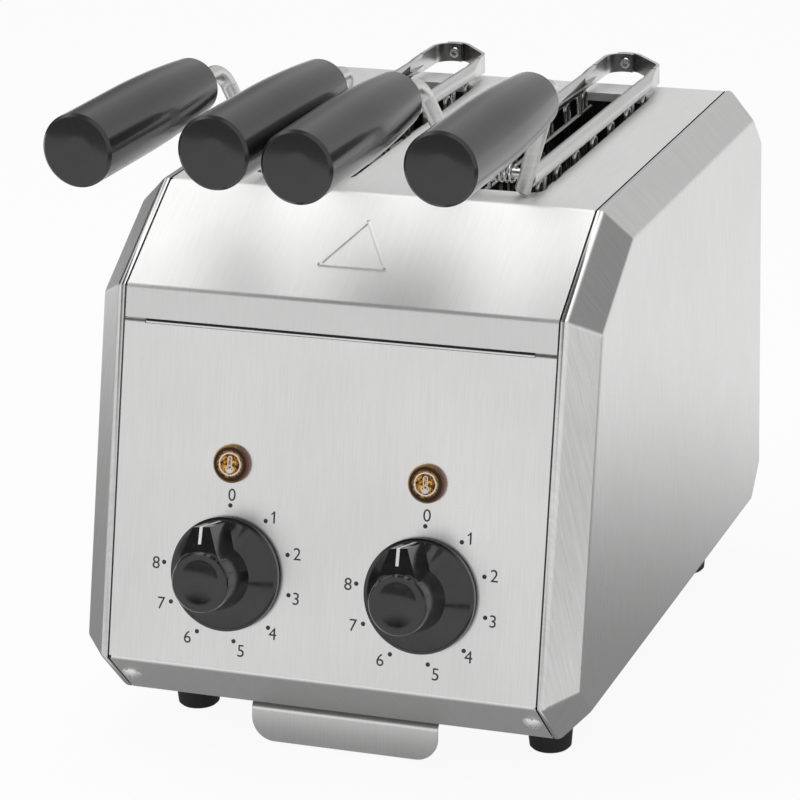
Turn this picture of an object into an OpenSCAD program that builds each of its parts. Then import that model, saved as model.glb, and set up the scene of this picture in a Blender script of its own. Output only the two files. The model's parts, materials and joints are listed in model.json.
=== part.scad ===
// Two-slot counter toaster with lift-out sandwich tongs.
// Millimetres. +Z is up, the controls face -Y, and the origin lies on the counter
// under the middle of everything.

/* [Body] */
// Width over both side caps
body_w = 220; // [200:1:260]
// Width of a side cap, from its seam to its outer face
cap_w = 15; // [12:0.5:20]
// Flat land of a side cap beside its seam
cap_land = 3; // [1.5:0.5:6]
// Depth of the flat top
top_depth = 202; // [196:1:240]
// Forward run of the sloping hood
hood_run = 51; // [40:1:60]
// Drop of the sloping hood
hood_drop = 32; // [24:1:40]
// Upright height of the leaning front
front_h = 154; // [145:1:175]
// Lean of the front, in degrees
front_lean = 13.6; // [8:0.2:18]
// Size of the bevel under the front
front_bevel = 22.4; // [18:0.2:28]
// Size of the bevels at the back
rear_bevel = 21; // [16:0.5:26]
// Thickness of the panels
sheet_t = 1.2; // [0.8:0.1:1.6]
// Wall of the side caps
cap_t = 1.5; // [1:0.1:2]
// Dark gap at each seam
seam_gap = 0.8; // [0.5:0.1:0.95]
// Height of the lip that turns down from the hood
lip_h = 13.5; // [10:0.5:18]
// Dark gap under the lip
lip_gap = 2; // [1:0.2:3]
// Width of the tabs that close the gap at both ends
lip_tab_w = 9; // [6:0.5:14]
// How far the front panel tucks up behind the lip
tuck_h = 8; // [5:0.5:10]
// How far the tucked strip laps down behind the front panel
tuck_lap = 4; // [3:0.5:6]

/* [Slots] */
// Distance between the middles of the two slots
slot_pitch = 84.7; // [82:0.1:90]
// Width of a slot
slot_w = 46; // [45:0.5:50]
// Length of a slot
slot_l = 166; // [150:1:168]
// Distance from the hood bend to the slots
slot_y = 18; // [16:0.5:22]
// Corner radius of a slot
slot_r = 6; // [4:0.5:9]
// Depth of the edge turned down round a slot
slot_rim_h = 4; // [2:0.5:6]

/* [Chamber] */
// Thickness of the chassis plates
chassis_t = 1.5; // [1:0.1:2]
// Width of the chassis flanges that take the screws
flange_w = 12; // [10:0.5:16]
// Distance of the flanges' ends from the bends of the panels
flange_set = 5; // [4:0.5:7]
// Gap between a slot's end and its bulkhead
bulkhead_gap = 8; // [6:0.5:9]
// Diameter of a quartz heater tube
tube_d = 10; // [8:0.5:11]
// Wall of a quartz tube
tube_wall = 1.5; // [1:0.1:2]
// Number of tubes in each heater bank
tube_count = 3; // [2:1:4]
// Height between the tubes of a bank
tube_pitch = 36; // [26:1:40]
// Depth of the top tube below the top
tube_drop = 38; // [32:1:45]
// Outer diameter of a ceramic holder's flange
holder_d = 16; // [15:0.5:18]
// Wall of a ceramic holder round its tube
holder_wall = 1; // [0.8:0.1:1.5]
// Flange thickness of a ceramic holder
holder_t = 4; // [3:0.5:6]
// Diameter of the guard wires
guard_d = 2; // [1.6:0.1:2.4]
// Diameter of the guard rails
rail_d = 3; // [2.5:0.1:3.5]
// How far a guard's rails pass through the bulkheads
rail_end = 1; // [0.5:0.25:2]
// Number of wires in each guard
guard_count = 8; // [5:1:9]
// Gap between a guard's rail and the heater behind it
guard_gap = 1; // [0.6:0.1:1.2]
// Depth of the toasting chamber that the guards line
guard_depth = 130; // [122:1:140]
// Height of the reflector plates
reflector_h = 135; // [125:1:150]
// Sheet of the reflector plates
reflector_t = 0.8; // [0.6:0.1:1.2]
// Width of the edges folded over on a reflector
reflector_fold = 6; // [4:0.5:8]
// Rise of the folded edges
reflector_rise = 2; // [1:0.25:3]

/* [Crumb tray] */
// Width of the tray between its side walls
tray_w = 124; // [116:1:128]
// Depth of the tray floor below the body
tray_drop = 6.6; // [6:0.2:9]
// Sheet of the tray
tray_t = 0.8; // [0.6:0.1:1]
// Margin of the tray round the crumb opening in the base
crumb_margin = 4; // [3:0.5:8]
// Width of the edges that hang in the runners
tray_edge = 4; // [3:0.25:5]
// Setback of the tray from the front of the base
tray_setback = 24; // [20:1:32]
// Setback of the pull lip's bend behind the front of the base
pull_set = 9.4; // [7:0.2:12]
// Height of the tray's front wall, up to the pull lip
pull_rise = 2.9; // [2:0.1:4]
// Width of the pull lip
pull_w = 84; // [70:1:100]
// Bend radius of the pull lip
pull_r = 3; // [2:0.5:5]
// Bend of the pull lip, in degrees
pull_bend = 87; // [70:1:90]
// Straight length below the bend
pull_drop = 13.6; // [12:0.2:14]
// Corner radius of the pull lip
pull_corner = 10; // [6:0.5:11]
// Sheet of the runners
runner_t = 1; // [0.8:0.1:1.2]

/* [Feet] */
// Height of a foot
foot_h = 22; // [18:0.5:28]
// Diameter of a foot at its top
foot_top_d = 22; // [18:0.5:22]
// Diameter of a foot at the counter
foot_bottom_d = 18; // [14:0.5:18]
// Distance between left and right feet
foot_span = 162; // [160:1:168]
// Setback of the front feet behind the hood bend (negative is forward of it)
foot_front_y = -27; // [-32:1:-15]
// Setback of the rear feet behind the hood bend
foot_rear_y = 184; // [170:1:186]
// Stud of a foot
foot_stud_d = 5; // [4:0.5:6]
// Chamfer at the bottom of a foot
foot_edge = 1; // [0.5:0.1:2]

/* [Controls] */
// Distance between the two knobs
knob_pitch = 86; // [80:1:96]
// Distance of the knobs below the lip
knob_s = 103.4; // [96:0.2:112]
// Diameter of the knob skirt
knob_d = 48; // [44:0.5:52]
// Height of a knob
knob_h = 29.5; // [26:0.5:34]
// Height of the skirt's rim
knob_rim = 2.5; // [2:0.1:4]
// Step between the rim and the cone
knob_step = 0.8; // [0.5:0.1:1.2]
// Height of the cone between skirt and grip
knob_cone_h = 9.5; // [7:0.5:12]
// Diameter of the grip where it leaves the cone
grip_d = 27.7; // [26:0.1:30]
// Angle at which a knob rests short of the first mark, in degrees
knob_rest = 6.5; // [0:0.5:10]
// Diameter of the grip at its face
grip_face_d = 24.5; // [20:0.5:25]
// Rolled edge of the grip's face
grip_edge = 0.6; // [0.4:0.1:1]
// Dish of the grip's face
grip_dish = 1.2; // [0.6:0.1:1.8]
// Radius of the dish
dish_r = 40; // [30:1:60]
// Width of the pointer fin at its outer end
fin_w = 7.6; // [6:0.2:9]
// Reach of the pointer fin from the axis
fin_reach = 22.3; // [20:0.1:22.4]
// Drop of the fin's outer corner below the grip's face
fin_drop = 5.9; // [4:0.1:8]
// Drop of the fin's root below the grip's face
fin_root_drop = 1.6; // [1.3:0.1:2.5]
// Diameter of the recess under a knob
recess_d = 22; // [18:0.5:26]
// Depth of the recess under a knob
recess_h = 3.5; // [2.5:0.25:5]
// Gap between a knob and the panel
knob_gap = 0.8; // [0.5:0.1:1]
// Diameter of a timer shaft
shaft_d = 6; // [5:0.5:8]
// Reach of a timer shaft ahead of the panel
shaft_top = 20; // [16:0.5:22]
// Reach of a timer shaft behind the panel
shaft_low = 14; // [10:0.5:20]
// Diameter of the timer neck in the panel
neck_d = 10; // [10:0.5:12]
// Reach of the timer neck ahead of the panel
neck_out = 1.5; // [1:0.1:2]
// Width and height of a timer case
timer_w = 44; // [38:1:50]
// Depth of a timer case
timer_depth = 30; // [26:1:36]
// Width of a solder tag
tag_w = 6; // [4:0.5:7]
// Length of a solder tag
tag_l = 8; // [6:0.5:10]
// Thickness of a solder tag
tag_t = 0.8; // [0.6:0.1:1]
// Distance between solder tags
tag_pitch = 8; // [7.5:0.25:10]
// Distance of the lamps below the lip
lamp_s = 57.2; // [50:0.2:60]
// Diameter of a lamp lens
lens_d = 16; // [14:0.5:20]
// Height of a lamp lens
lens_h = 3; // [2:0.25:5]
// Chamfer of a lamp lens
lens_edge = 1; // [0.5:0.1:1.2]
// Height of the collar that clamps a lamp
collar_h = 4; // [3:0.25:6]
// Diameter of a lamp body behind the panel
lamp_d = 12; // [10:0.5:13]
// Length of a lamp body
lamp_l = 26; // [20:1:32]

/* [Rear] */
// Diameter of the cable gland's flange
gland_d = 20; // [18:0.5:24]
// Cable bore of the gland
gland_bore = 8; // [6:0.5:9]
// Wall of the gland round its bore
gland_wall = 3; // [2.5:0.25:4]
// Thickness of the gland's flange
gland_flange = 3; // [2:0.25:4]
// Reach of the gland's spigot inside the panel
gland_in = 6; // [4:0.5:10]
// Reach of the gland behind the panel
gland_out = 9; // [6:0.5:14]
// Distance of the gland from the middle
gland_x = 58; // [50:1:70]
// Height of the gland above the base
gland_z = 42; // [36:1:60]
// Number of vent slots
vent_count = 9; // [5:1:11]
// Distance between vent slots
vent_pitch = 13; // [11:0.5:14]
// Width of a vent slot
vent_w = 4; // [3:0.5:5]
// Height of a vent slot
vent_h = 40; // [25:1:50]
// Head diameter of a panel screw
screw_head_d = 9; // [8:0.25:10]
// Shank diameter of a panel screw
screw_d = 4; // [3:0.25:4.5]
// Shank length of a panel screw
screw_l = 8; // [6:0.5:10]
// Distance of the screws from the panel's sides
screw_inset = 5; // [4.75:0.25:7]
// Distance of the rear screws from the bends of the rear panel
rear_screw_inset = 20; // [15:1:40]
// Width of the terminal block
block_w = 46; // [40:1:60]
// Depth of the terminal block
block_d = 14; // [10:0.5:18]
// Height of the terminal block
block_h = 16; // [12:0.5:20]
// Number of wire wells in the terminal block
block_wells = 4; // [3:1:5]

/* [Tongs] */
// Diameter of a tong's tube
arm_d = 6.8; // [6.4:0.1:7]
// Wall of a tong's tube
arm_wall = 0.9; // [0.7:0.1:1.1]
// Height of the middle of the tubes above the top
arm_z = 6.9; // [6.6:0.1:7.4]
// Sideways place of the left tube
arm_half = 13.4; // [13:0.1:13.6]
// Height of the strip that the rear of a tube is pressed into
strip_h = 8.6; // [8:0.2:9]
// Thickness of that strip
strip_t = 1.6; // [1.4:0.1:1.7]
// Length over which a tube is pressed flat
press_l = 16; // [12:1:20]
// Step at each end of the pressed length
press_step = 0.2; // [0.1:0.05:0.3]
// Start of the flat strips behind the slot
flat_set = 8; // [6:0.5:9]
// Length of the open seam ahead of the flat strip
seam_l = 60; // [40:1:80]
// Height of the seam above the middle of its tube
seam_z = 1.3; // [1:0.1:1.6]
// Radius of the bow in the left strip
bow_r = 8; // [7.5:0.1:8.5]
// Middle of the bow behind the slot
bow_set = 23.2; // [22:0.2:24]
// Slant of the right strip between the bow and its tube, in degrees
bow_slant = 48; // [45:1:51]
// Bend between the slant and the right tube
bend_r = 8; // [7:0.25:9]
// Gap between the two strips where they lap
lap_gap = 0.3; // [0.25:0.05:0.4]
// Half angle of the lap
lap_angle = 26; // [24:0.5:30]
// Shank diameter of the bow rivet
rivet_d = 3.2; // [3:0.1:3.6]
// Head diameter of the bow rivet
rivet_head_d = 5.4; // [5:0.1:5.8]
// Head thickness of the bow rivet
rivet_head_t = 0.9; // [0.7:0.1:1.2]
// Bore of the bow rivet
rivet_bore = 2; // [1.6:0.1:2.2]
// Play behind the lap, so that the strips can flex
flex_gap = 1.1; // [1:0.1:1.6]
// Sideways rest place of the left tong in its slot
left_tong_shift = 3; // [1:0.1:3.5]
// Turn of the left tong in its slot, in degrees
left_tong_turn = -2.2; // [-2.4:0.1:0]
// Sideways rest place of the right tong in its slot
right_tong_shift = 5.2; // [1:0.1:5.4]
// Turn of the right tong in its slot, in degrees
right_tong_turn = -0.8; // [-0.9:0.1:0]
// Sideways distance of a handle from the middle of its tong
handle_x = 29.3; // [28:0.1:32]
// Height of the left handles above the top
left_handle_z = 47.4; // [44:0.2:52]
// Height of the right handles above the top
right_handle_z = 51.1; // [44:0.2:54]
// Front end of the handles ahead of the hood bend
handle_front = 130; // [122:0.5:136]
// Length of a handle
handle_l = 107; // [102:0.5:112]
// Diameter of a handle's grip
handle_d = 30; // [26:0.5:30]
// Diameter of a handle at its rear
handle_rear_d = 24; // [22:0.5:26]
// Length of the straight grip
handle_grip_l = 45; // [35:1:60]
// Edge radius of a handle
handle_edge = 1.2; // [0.6:0.1:2]
// Diameter of a handle bracket's tube
bracket_d = 7; // [6.8:0.1:7.4]
// Distance of the brackets ahead of the slot
bracket_set = 1; // [0.5:0.25:2]
// Forward tilt of the brackets, in degrees
bracket_tilt = 10; // [6:1:12]
// Sideways place of a bracket's foot
bracket_x = 11.6; // [11:0.1:12.4]
// Bend radius of a bracket
bracket_r = 9.5; // [8:0.5:11]
// Length of the bracket inside its handle
tang_l = 26; // [20:1:34]
// Angle by which a bracket's bend reaches into its straight ends
crook_lap = 3; // [2:0.5:4]
// Wire of the grids
wire_d = 1.8; // [1.6:0.1:2]
// Rails of the grids
grid_rail_d = 2.4; // [2:0.1:2.6]
// Depth of the grids below the top
grid_depth = 108; // [100:1:114]
// Distance of the outer hairpins from the ends of the slot
grid_set = 6; // [5:0.5:10]
// Number of hairpins in a grid
pin_count = 7; // [5:1:8]
// Distance between the legs of a hairpin
pin_gap = 5.5; // [5:0.1:7]
// Length of the bread rests at the foot of a grid
rest_l = 5; // [4:0.25:5]
// Height of the spring above the top
spring_z = 9.5; // [9:0.1:11]
// Mean radius of the spring
spring_r = 3.6; // [3.4:0.1:4]
// Wire of the spring
spring_wire = 1; // [0.8:0.1:1.1]
// Turns of the spring
spring_turns = 7; // [5:1:8]
// Diameter of the pegs that hold the spring
peg_d = 4.6; // [4:0.1:4.8]
// Length of the pegs
peg_l = 2.5; // [2:0.1:2.8]

/* [Clearances] */
// Seating gap between still pieces
fit = 0.2; // [0.1:0.05:0.3]
// Gap between sliding pieces
slide_gap = 0.3; // [0.3:0.05:0.5]
// Radial gap of a turning shaft
run_gap = 0.05; // [0.03:0.01:0.08]

/* [Hidden] */
$fn = 48;
big = 1000;
cut = 1;
sink = 0.02;
dip = 0.4;
body_h = hood_drop + front_h + front_bevel;
z_top = foot_h + body_h;
seam_x = body_w / 2 - cap_w;
panel_w = 2 * seam_x - seam_gap;
chassis_x = seam_x - chassis_t / 2;
mid_y = slot_y + slot_l / 2;
bow_y = slot_y + slot_l + bow_set;
flat_y = slot_y + slot_l + flat_set;

// How far the handles reach ahead of the hood bend once their tong is turned
function reach(turn) = (mid_y + handle_front) * cos(turn) - mid_y + (handle_x + handle_d / 2) * sin(abs(turn));
front_reach = max(reach(left_tong_turn), reach(right_tong_turn));
y_a = (front_reach - top_depth - rear_bevel - gland_out) / 2;

// Points and paths in the side view (y, z), with the body's inside on the left of each path
function unit(v) = v / norm(v);
function left_of(v) = [-v[1], v[0]];
function corner(a, b, d) = d * (a + b) / (1 + a * b);
function along(p, q, d) = p + d * unit(q - p);
function inward(p, q, d) = d * left_of(unit(q - p));
function inset(p, d) = let (n = len(p)) [for (i = [0:n - 1])
    p[i] + corner(left_of(unit(p[i] - p[(i + n - 1) % n])), left_of(unit(p[(i + 1) % n] - p[i])), d)];
function inner_path(p, d) = let (n = len(p)) [for (i = [0:n - 1])
    let (j = max(i, 1), k = min(i, n - 2))
    p[i] + corner(left_of(unit(p[j] - p[j - 1])), left_of(unit(p[k + 1] - p[k])), d)];
function strip(p, d) = let (q = inner_path(p, d)) concat(p, [for (i = [len(p) - 1:-1:0]) q[i]]);

p_bend = [y_a, z_top];
p_hood = p_bend + [-hood_run, -hood_drop];
p_front = p_hood + [-front_h * tan(front_lean), -front_h];
p_base = p_front + [front_bevel, -front_bevel];
p_top = [y_a + top_depth, z_top];
p_rear_top = p_top + [rear_bevel, -rear_bevel];
p_rear_base = [p_top[0], p_base[1]];
p_rear = p_rear_base + [rear_bevel, rear_bevel];
outline = [p_bend, p_hood, p_front, p_base, p_rear_base, p_rear, p_rear_top, p_top];
p_lip = along(p_hood, p_front, lip_h);
p_panel = along(p_lip, p_front, lip_gap);
base_z = p_base[1];

// Places inside the body
front_bulk_y = y_a + slot_y - bulkhead_gap - sheet_t;
rear_bulk_y = y_a + slot_y + slot_l + bulkhead_gap;
chamber_l = rear_bulk_y - front_bulk_y - sheet_t;
guard_x = slot_w / 2 + slide_gap + guard_d / 2;
guard_rail_x = guard_x + (guard_d + rail_d) / 2 - fit;
heater_x = guard_rail_x + rail_d / 2 + guard_gap + tube_d / 2;
guard_top = z_top - slot_rim_h - fit - rail_d / 2;
sides = [-1, 1];
// Middles of the four heater banks and guards: side of the toaster, side of the slot
banks = [[-1, -1], [-1, 1], [1, -1], [1, 1]];

// Tong sizes, measured in the tong's own frame
bow_outer = bow_r + strip_t + lap_gap;
arm_x = [-arm_half, arm_half + strip_t + lap_gap];
strip_z = arm_z - strip_h / 2;
bow_x = bow_r - arm_half;
bend_x = arm_x[1] - bend_r;
bend_y = bow_y + (bow_outer - bend_r - (bend_x - bow_x) * sin(bow_slant)) / cos(bow_slant);
slant_l = (bend_x - bow_x) * cos(bow_slant) + (bow_y - bend_y) * sin(bow_slant);
handle_rear = handle_l - handle_front;
handle_zs = [left_handle_z, right_handle_z];
function lean(i) = atan((handle_x - bracket_x) / handle_zs[i]);
function rise(i) = handle_zs[i] / cos(lean(i));
function slope(i) = acos(cos(bracket_tilt) * cos(lean(i)));
function foot(i) = (bracket_d / 2 * cos(slope(i)) + bracket_d / 4 * sin(slope(i)) + slide_gap) / cos(lean(i));
riser_y = slot_y - bracket_set - bracket_d / 2;
function riser_l(i) = (rise(i) - bracket_r * (1 - sin(bracket_tilt)) - foot(i)) / cos(bracket_tilt);
function crook_y(i) = riser_y - bracket_r * cos(bracket_tilt) - riser_l(i) * sin(bracket_tilt);
function spring_end(i) = bracket_x + spring_z * tan(lean(i)) - bracket_d / 2 / cos(lean(i));
spring_y = riser_y - (spring_z / cos(lean(0)) - foot(0)) * tan(bracket_tilt);
grid_front = slot_y + grid_set;
grid_rear = slot_y + slot_l - grid_set;
pin_pitch = (grid_rear - grid_front - pin_gap) / (pin_count - 1);
function grid_rail(i) = arm_x[i] - sides[i] * ((wire_d + grid_rail_d) / 2 - fit);

steel = "#c9c9c6";
dull_steel = "#9a9a98";
black = "#1d1d1e";

// Extrudes a side view outline across the body
module across(w) rotate([90, 0, 90]) linear_extrude(w, center = true) children();

// Extrudes a side view outline from x to the right
module from_x(x, w) translate([x + w / 2, 0, 0]) across(w) children();

// Puts a piece on the front panel: x across, s down from the lip, +Z out of the panel
module on_front(x, s) {
    p = along(p_lip, p_front, s);
    translate([x, p[0], p[1]]) rotate([90 - front_lean, 0, 0]) children();
}

// Puts a piece on the front bevel, +Z out of it
module on_bevel(x) {
    p = (p_front + p_base) / 2;
    translate([x, p[0], p[1]]) rotate([135, 0, 0]) children();
}

// Puts a piece on the rear panel, +Z out of it
module on_rear(x, z) translate([x, p_rear[0], z]) rotate([-90, 0, 0]) children();

// Screw places: x across the bevel, and x, z on the rear panel
screw_x = panel_w / 2 - screw_inset;
rear_screw_z = [p_rear[1] + rear_screw_inset, p_rear_top[1] - rear_screw_inset];

module rear_screw_places() for (s = sides, z = rear_screw_z) on_rear(s * screw_x, z) children();

// Places of the feet on the counter
module foot_places() for (s = sides, y = [foot_front_y, foot_rear_y])
    translate([s * foot_span / 2, y_a + y, 0]) children();

// Side caps: pressed shells with a land, a bevel all round and a flat face
module cap_form(d, x0, x1, drop) hull() {
    from_x(x0, x1 - x0) polygon(inset(outline, d));
    from_x(body_w / 2 - drop - 0.01, 0.01) polygon(inset(outline, cap_w - cap_land + d / 2));
}

module side_cap() difference() {
    cap_form(0, seam_x + seam_gap / 2, seam_x + cap_land, 0);
    cap_form(cap_t, seam_x - cap_t, seam_x + cap_land - cap_t / 3, cap_t);
}

module left_side_panel() color(steel) mirror([1, 0, 0]) side_cap();
module right_side_panel() color(steel) side_cap();

// Rounded block for slots, standing on z = 0
module slot_block(w, l, r, h) {
    translate([-w / 2, -l / 2 + r, 0]) cube([w, l - 2 * r, h]);
    translate([-w / 2 + r, -l / 2, 0]) cube([w - 2 * r, l, h]);
    for (x = sides, y = sides) translate([x * (w / 2 - r), y * (l / 2 - r), 0]) cylinder(r = r, h = h);
}

module slot_places() for (s = sides) translate([s * slot_pitch / 2, y_a + mid_y, 0]) children();

// Top cover: rear bevel, slotted top, sloping hood and lip, bent from one sheet
module top_cover() color(steel) difference() {
    union() {
        across(panel_w)
            polygon(strip([along(p_rear_top, p_top, sheet_t + fit), p_top, p_bend, p_hood, p_lip], sheet_t));
        slot_places() translate([0, 0, z_top - slot_rim_h])
            slot_block(slot_w + 2 * sheet_t, slot_l + 2 * sheet_t, slot_r + sheet_t, slot_rim_h - sheet_t / 2);
    }
    slot_places() translate([0, 0, z_top - slot_rim_h - cut])
        slot_block(slot_w, slot_l, slot_r, slot_rim_h + 2 * cut);
}

// Front panel: leaning face with its bevel, tucked up behind the lip
module front_panel() color(steel) difference() {
    union() {
        across(panel_w) polygon(strip([p_panel, p_front, p_base], sheet_t));
        tuck = inward(p_hood, p_front, sheet_t);
        across(2 * (chassis_x - fit)) polygon(strip([along(p_lip, p_hood, tuck_h) + tuck,
            along(p_panel, p_front, tuck_lap) + tuck], sheet_t));
        for (s = sides) translate([s * (panel_w - lip_tab_w) / 2, 0, 0]) across(lip_tab_w)
            polygon(strip([along(p_lip, p_front, fit), along(p_panel, p_front, cut)], sheet_t));
    }
    for (s = sides) {
        on_front(s * knob_pitch / 2, knob_s) cylinder(d = neck_d + 2 * fit, h = 6 * sheet_t, center = true);
        on_front(s * knob_pitch / 2, lamp_s) cylinder(d = lamp_d + 2 * fit, h = 6 * sheet_t, center = true);
        on_bevel(s * screw_x) cylinder(d = screw_d + 2 * fit, h = 6 * sheet_t, center = true);
    }
}

// Rear panel: upright back with its bottom bevel, vents and the hole of the gland
module rear_panel() color(steel) difference() {
    across(panel_w) polygon(strip([along(p_rear_base, p_rear, sheet_t + fit), p_rear, p_rear_top], sheet_t));
    for (i = [0:vent_count - 1])
        on_rear((i - (vent_count - 1) / 2) * vent_pitch, (p_rear[1] + p_rear_top[1]) / 2)
            translate([0, 0, -3 * sheet_t]) slot_block(vent_w, vent_h, vent_w / 2 - 0.01, 6 * sheet_t);
    on_rear(-gland_x, base_z + gland_z) cylinder(d = gland_bore + 2 * (gland_wall + fit), h = 6 * sheet_t, center = true);
    rear_screw_places() cylinder(d = screw_d + 2 * fit, h = 6 * sheet_t, center = true);
}

// Base plate with the crumb opening and the foot holes
module base_plate() color(dull_steel) difference() {
    across(panel_w) polygon(strip([along(p_base, p_rear_base, sheet_t + fit), p_rear_base], sheet_t));
    translate([0, (front_bulk_y + rear_bulk_y + sheet_t) / 2, base_z - sheet_t])
        slot_block(tray_w - 2 * crumb_margin, chamber_l - 2 * crumb_margin, slot_r, 3 * sheet_t);
    foot_places() translate([0, 0, base_z - sheet_t]) cylinder(d = foot_stud_d + 2 * fit, h = 3 * sheet_t);
}

// Crumb tray: shallow folded pan that hangs by its edges, with a curled pull lip
tray_front = p_base[0] + tray_setback;
tray_rear = rear_bulk_y;
tray_floor = base_z - tray_drop;
tray_top = base_z - slide_gap;
edge_x = tray_w / 2 + tray_edge;
pull_y = p_base[0] + pull_set;
pull_z = tray_floor + pull_rise;
pull_steps = 10;

// Pull lip in the side view: front wall, flat tab, bend and straight end
pull_bends = [for (i = [0:pull_steps]) let (a = pull_bend * i / pull_steps)
    [pull_y - pull_r * sin(a), pull_z - pull_r * (1 - cos(a))]];
pull_path = concat([[tray_front + cut, tray_floor], [tray_front, tray_floor], [tray_front, pull_z]], pull_bends,
    [pull_bends[pull_steps] - pull_drop * [cos(pull_bend), sin(pull_bend)]]);

module crumb_tray() color(steel) {
    translate([0, tray_rear, 0]) rotate([90, 0, 0]) linear_extrude(tray_rear - tray_front)
        polygon(strip([[-edge_x, tray_top - tray_t], [-tray_w / 2, tray_top - tray_t], [-tray_w / 2, tray_floor],
            [tray_w / 2, tray_floor], [tray_w / 2, tray_top - tray_t], [edge_x, tray_top - tray_t]], tray_t));
    translate([-tray_w / 2, tray_rear - tray_t, tray_floor])
        cube([tray_w, tray_t, tray_top - tray_floor]);
    difference() {
        across(pull_w) polygon(strip(pull_path, -tray_t));
        for (s = [0, 1]) mirror([s, 0, 0]) translate([pull_w / 2 - pull_corner, pull_y, pull_z - pull_r])
            rotate([pull_bend, 0, 0]) translate([0, pull_corner - pull_drop, pull_r - cut]) difference() {
                translate([0, -2 * pull_corner, 0]) cube([2 * pull_corner, 2 * pull_corner, tray_t + 2 * cut]);
                cylinder(r = pull_corner, h = tray_t + 2 * cut);
            }
    }
}

// Runners under the base that carry the tray's edges
module tray_runners() color(dull_steel) for (s = [0, 1]) mirror([s, 0, 0])
    translate([0, tray_rear, 0]) rotate([90, 0, 0]) linear_extrude(tray_rear - tray_front) {
        x = edge_x + slide_gap;
        low = tray_top - tray_t - slide_gap - runner_t;
        polygon([[x, base_z], [x + runner_t, base_z], [x + runner_t, low], [x - tray_edge + slide_gap, low],
            [x - tray_edge + slide_gap, low + runner_t], [x, low + runner_t]]);
    }

// Rubber feet, each moulded round a stud
module feet() color(black) foot_places() {
    rotate_extrude() polygon([[0, 0], [foot_bottom_d / 2 - foot_edge, 0], [foot_bottom_d / 2, foot_edge],
        [foot_top_d / 2, foot_h], [0, foot_h]]);
    cylinder(d = foot_stud_d, h = foot_h + 4 * sheet_t);
}

// Pan head screw on z = 0 with its shank below
module screw() {
    rise = screw_head_d / 4;
    cap_r = (screw_head_d * screw_head_d / 4 + rise * rise) / (2 * rise);
    intersection() {
        translate([0, 0, rise - cap_r]) sphere(r = cap_r);
        cylinder(d = screw_head_d, h = rise + cut);
    }
    translate([0, 0, -screw_l]) cylinder(d = screw_d, h = screw_l + rise / 2);
}

module front_screws() color(steel) for (s = sides) on_bevel(s * screw_x) screw();
module rear_screws() color(steel) rear_screw_places() screw();

// Chassis plates behind the seams, with flanges for the screws
module chassis_plate() difference() {
    union() {
        from_x(chassis_x, chassis_t) polygon(inset(outline, cap_t + fit));
        x = chassis_x - flange_w;
        shift = inward(p_front, p_base, sheet_t);
        from_x(x, flange_w + chassis_t / 2)
            polygon(strip([along(p_front, p_base, flange_set) + shift,
                along(p_base, p_front, flange_set) + shift], chassis_t));
        back = inward(p_rear, p_rear_top, sheet_t);
        from_x(x, flange_w + chassis_t / 2)
            polygon(strip([along(p_rear, p_rear_top, flange_set) + back,
                along(p_rear_top, p_rear, flange_set) + back], chassis_t));
    }
    on_bevel(screw_x) cylinder(d = screw_d + 2 * fit, h = 2 * flange_w, center = true);
    for (z = rear_screw_z) on_rear(screw_x, z) cylinder(d = screw_d + 2 * fit, h = 2 * flange_w, center = true);
}

module left_chassis_plate() color(dull_steel) mirror([1, 0, 0]) chassis_plate();
module right_chassis_plate() color(dull_steel) chassis_plate();

// Middle of a heater bank or guard plane at a distance from its slot's middle
function bank_x(k, d) = banks[k][0] * slot_pitch / 2 + banks[k][1] * d;
function tube_z(i) = z_top - tube_drop - i * tube_pitch;
guard_low = z_top - guard_depth;

// Bulkheads that close the chamber and hold the heaters and guards
module bulkhead(y) color(dull_steel) difference() {
    translate([-chassis_x, y, base_z + sheet_t])
        cube([2 * chassis_x, sheet_t, z_top - base_z - 2 * sheet_t - fit]);
    for (k = [0:3]) {
        for (i = [0:tube_count - 1]) translate([bank_x(k, heater_x), y - cut, tube_z(i)]) rotate([-90, 0, 0])
            cylinder(d = tube_d + 2 * (holder_wall + fit), h = sheet_t + 2 * cut);
        for (z = [guard_low, guard_top]) translate([bank_x(k, guard_rail_x), y - cut, z]) rotate([-90, 0, 0])
            cylinder(d = rail_d + fit, h = sheet_t + 2 * cut);
    }
}

module front_bulkhead() bulkhead(front_bulk_y);
module rear_bulkhead() bulkhead(rear_bulk_y);

// Bright plates behind the heaters, with their top and bottom edges folded over.
// The outer ones hang midway between the tubes and the chassis plates.
reflector_top = tube_z(0) + (reflector_h - (tube_count - 1) * tube_pitch) / 2;
reflector_x = (slot_pitch / 2 + heater_x + tube_d / 2 + chassis_x) / 2;

module reflector(x, s) color(steel) translate([x, rear_bulk_y - fit, 0]) rotate([90, 0, 0])
    linear_extrude(chamber_l - 2 * fit) {
        polygon(strip([[s * reflector_fold, reflector_top - reflector_h - reflector_rise],
            [0, reflector_top - reflector_h], [0, reflector_top],
            [s * reflector_fold, reflector_top + reflector_rise]], s * -reflector_t));
    }

module left_reflector() reflector(-reflector_x, 1);
module right_reflector() reflector(reflector_x, -1);
module centre_reflector() color(steel)
    translate([-reflector_t / 2, front_bulk_y + sheet_t + fit, reflector_top - reflector_h])
        cube([reflector_t, chamber_l - 2 * fit, reflector_h]);

// Quartz tubes of one heater bank
module heater(k) color("#e8e4da") for (i = [0:tube_count - 1])
    translate([bank_x(k, heater_x), front_bulk_y - holder_t, tube_z(i)]) rotate([-90, 0, 0]) difference() {
        cylinder(d = tube_d, h = rear_bulk_y - front_bulk_y + sheet_t + 2 * holder_t);
        translate([0, 0, -cut]) cylinder(d = tube_d - 2 * tube_wall, h = big);
    }

module heater_1() heater(0);
module heater_2() heater(1);
module heater_3() heater(2);
module heater_4() heater(3);

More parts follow.
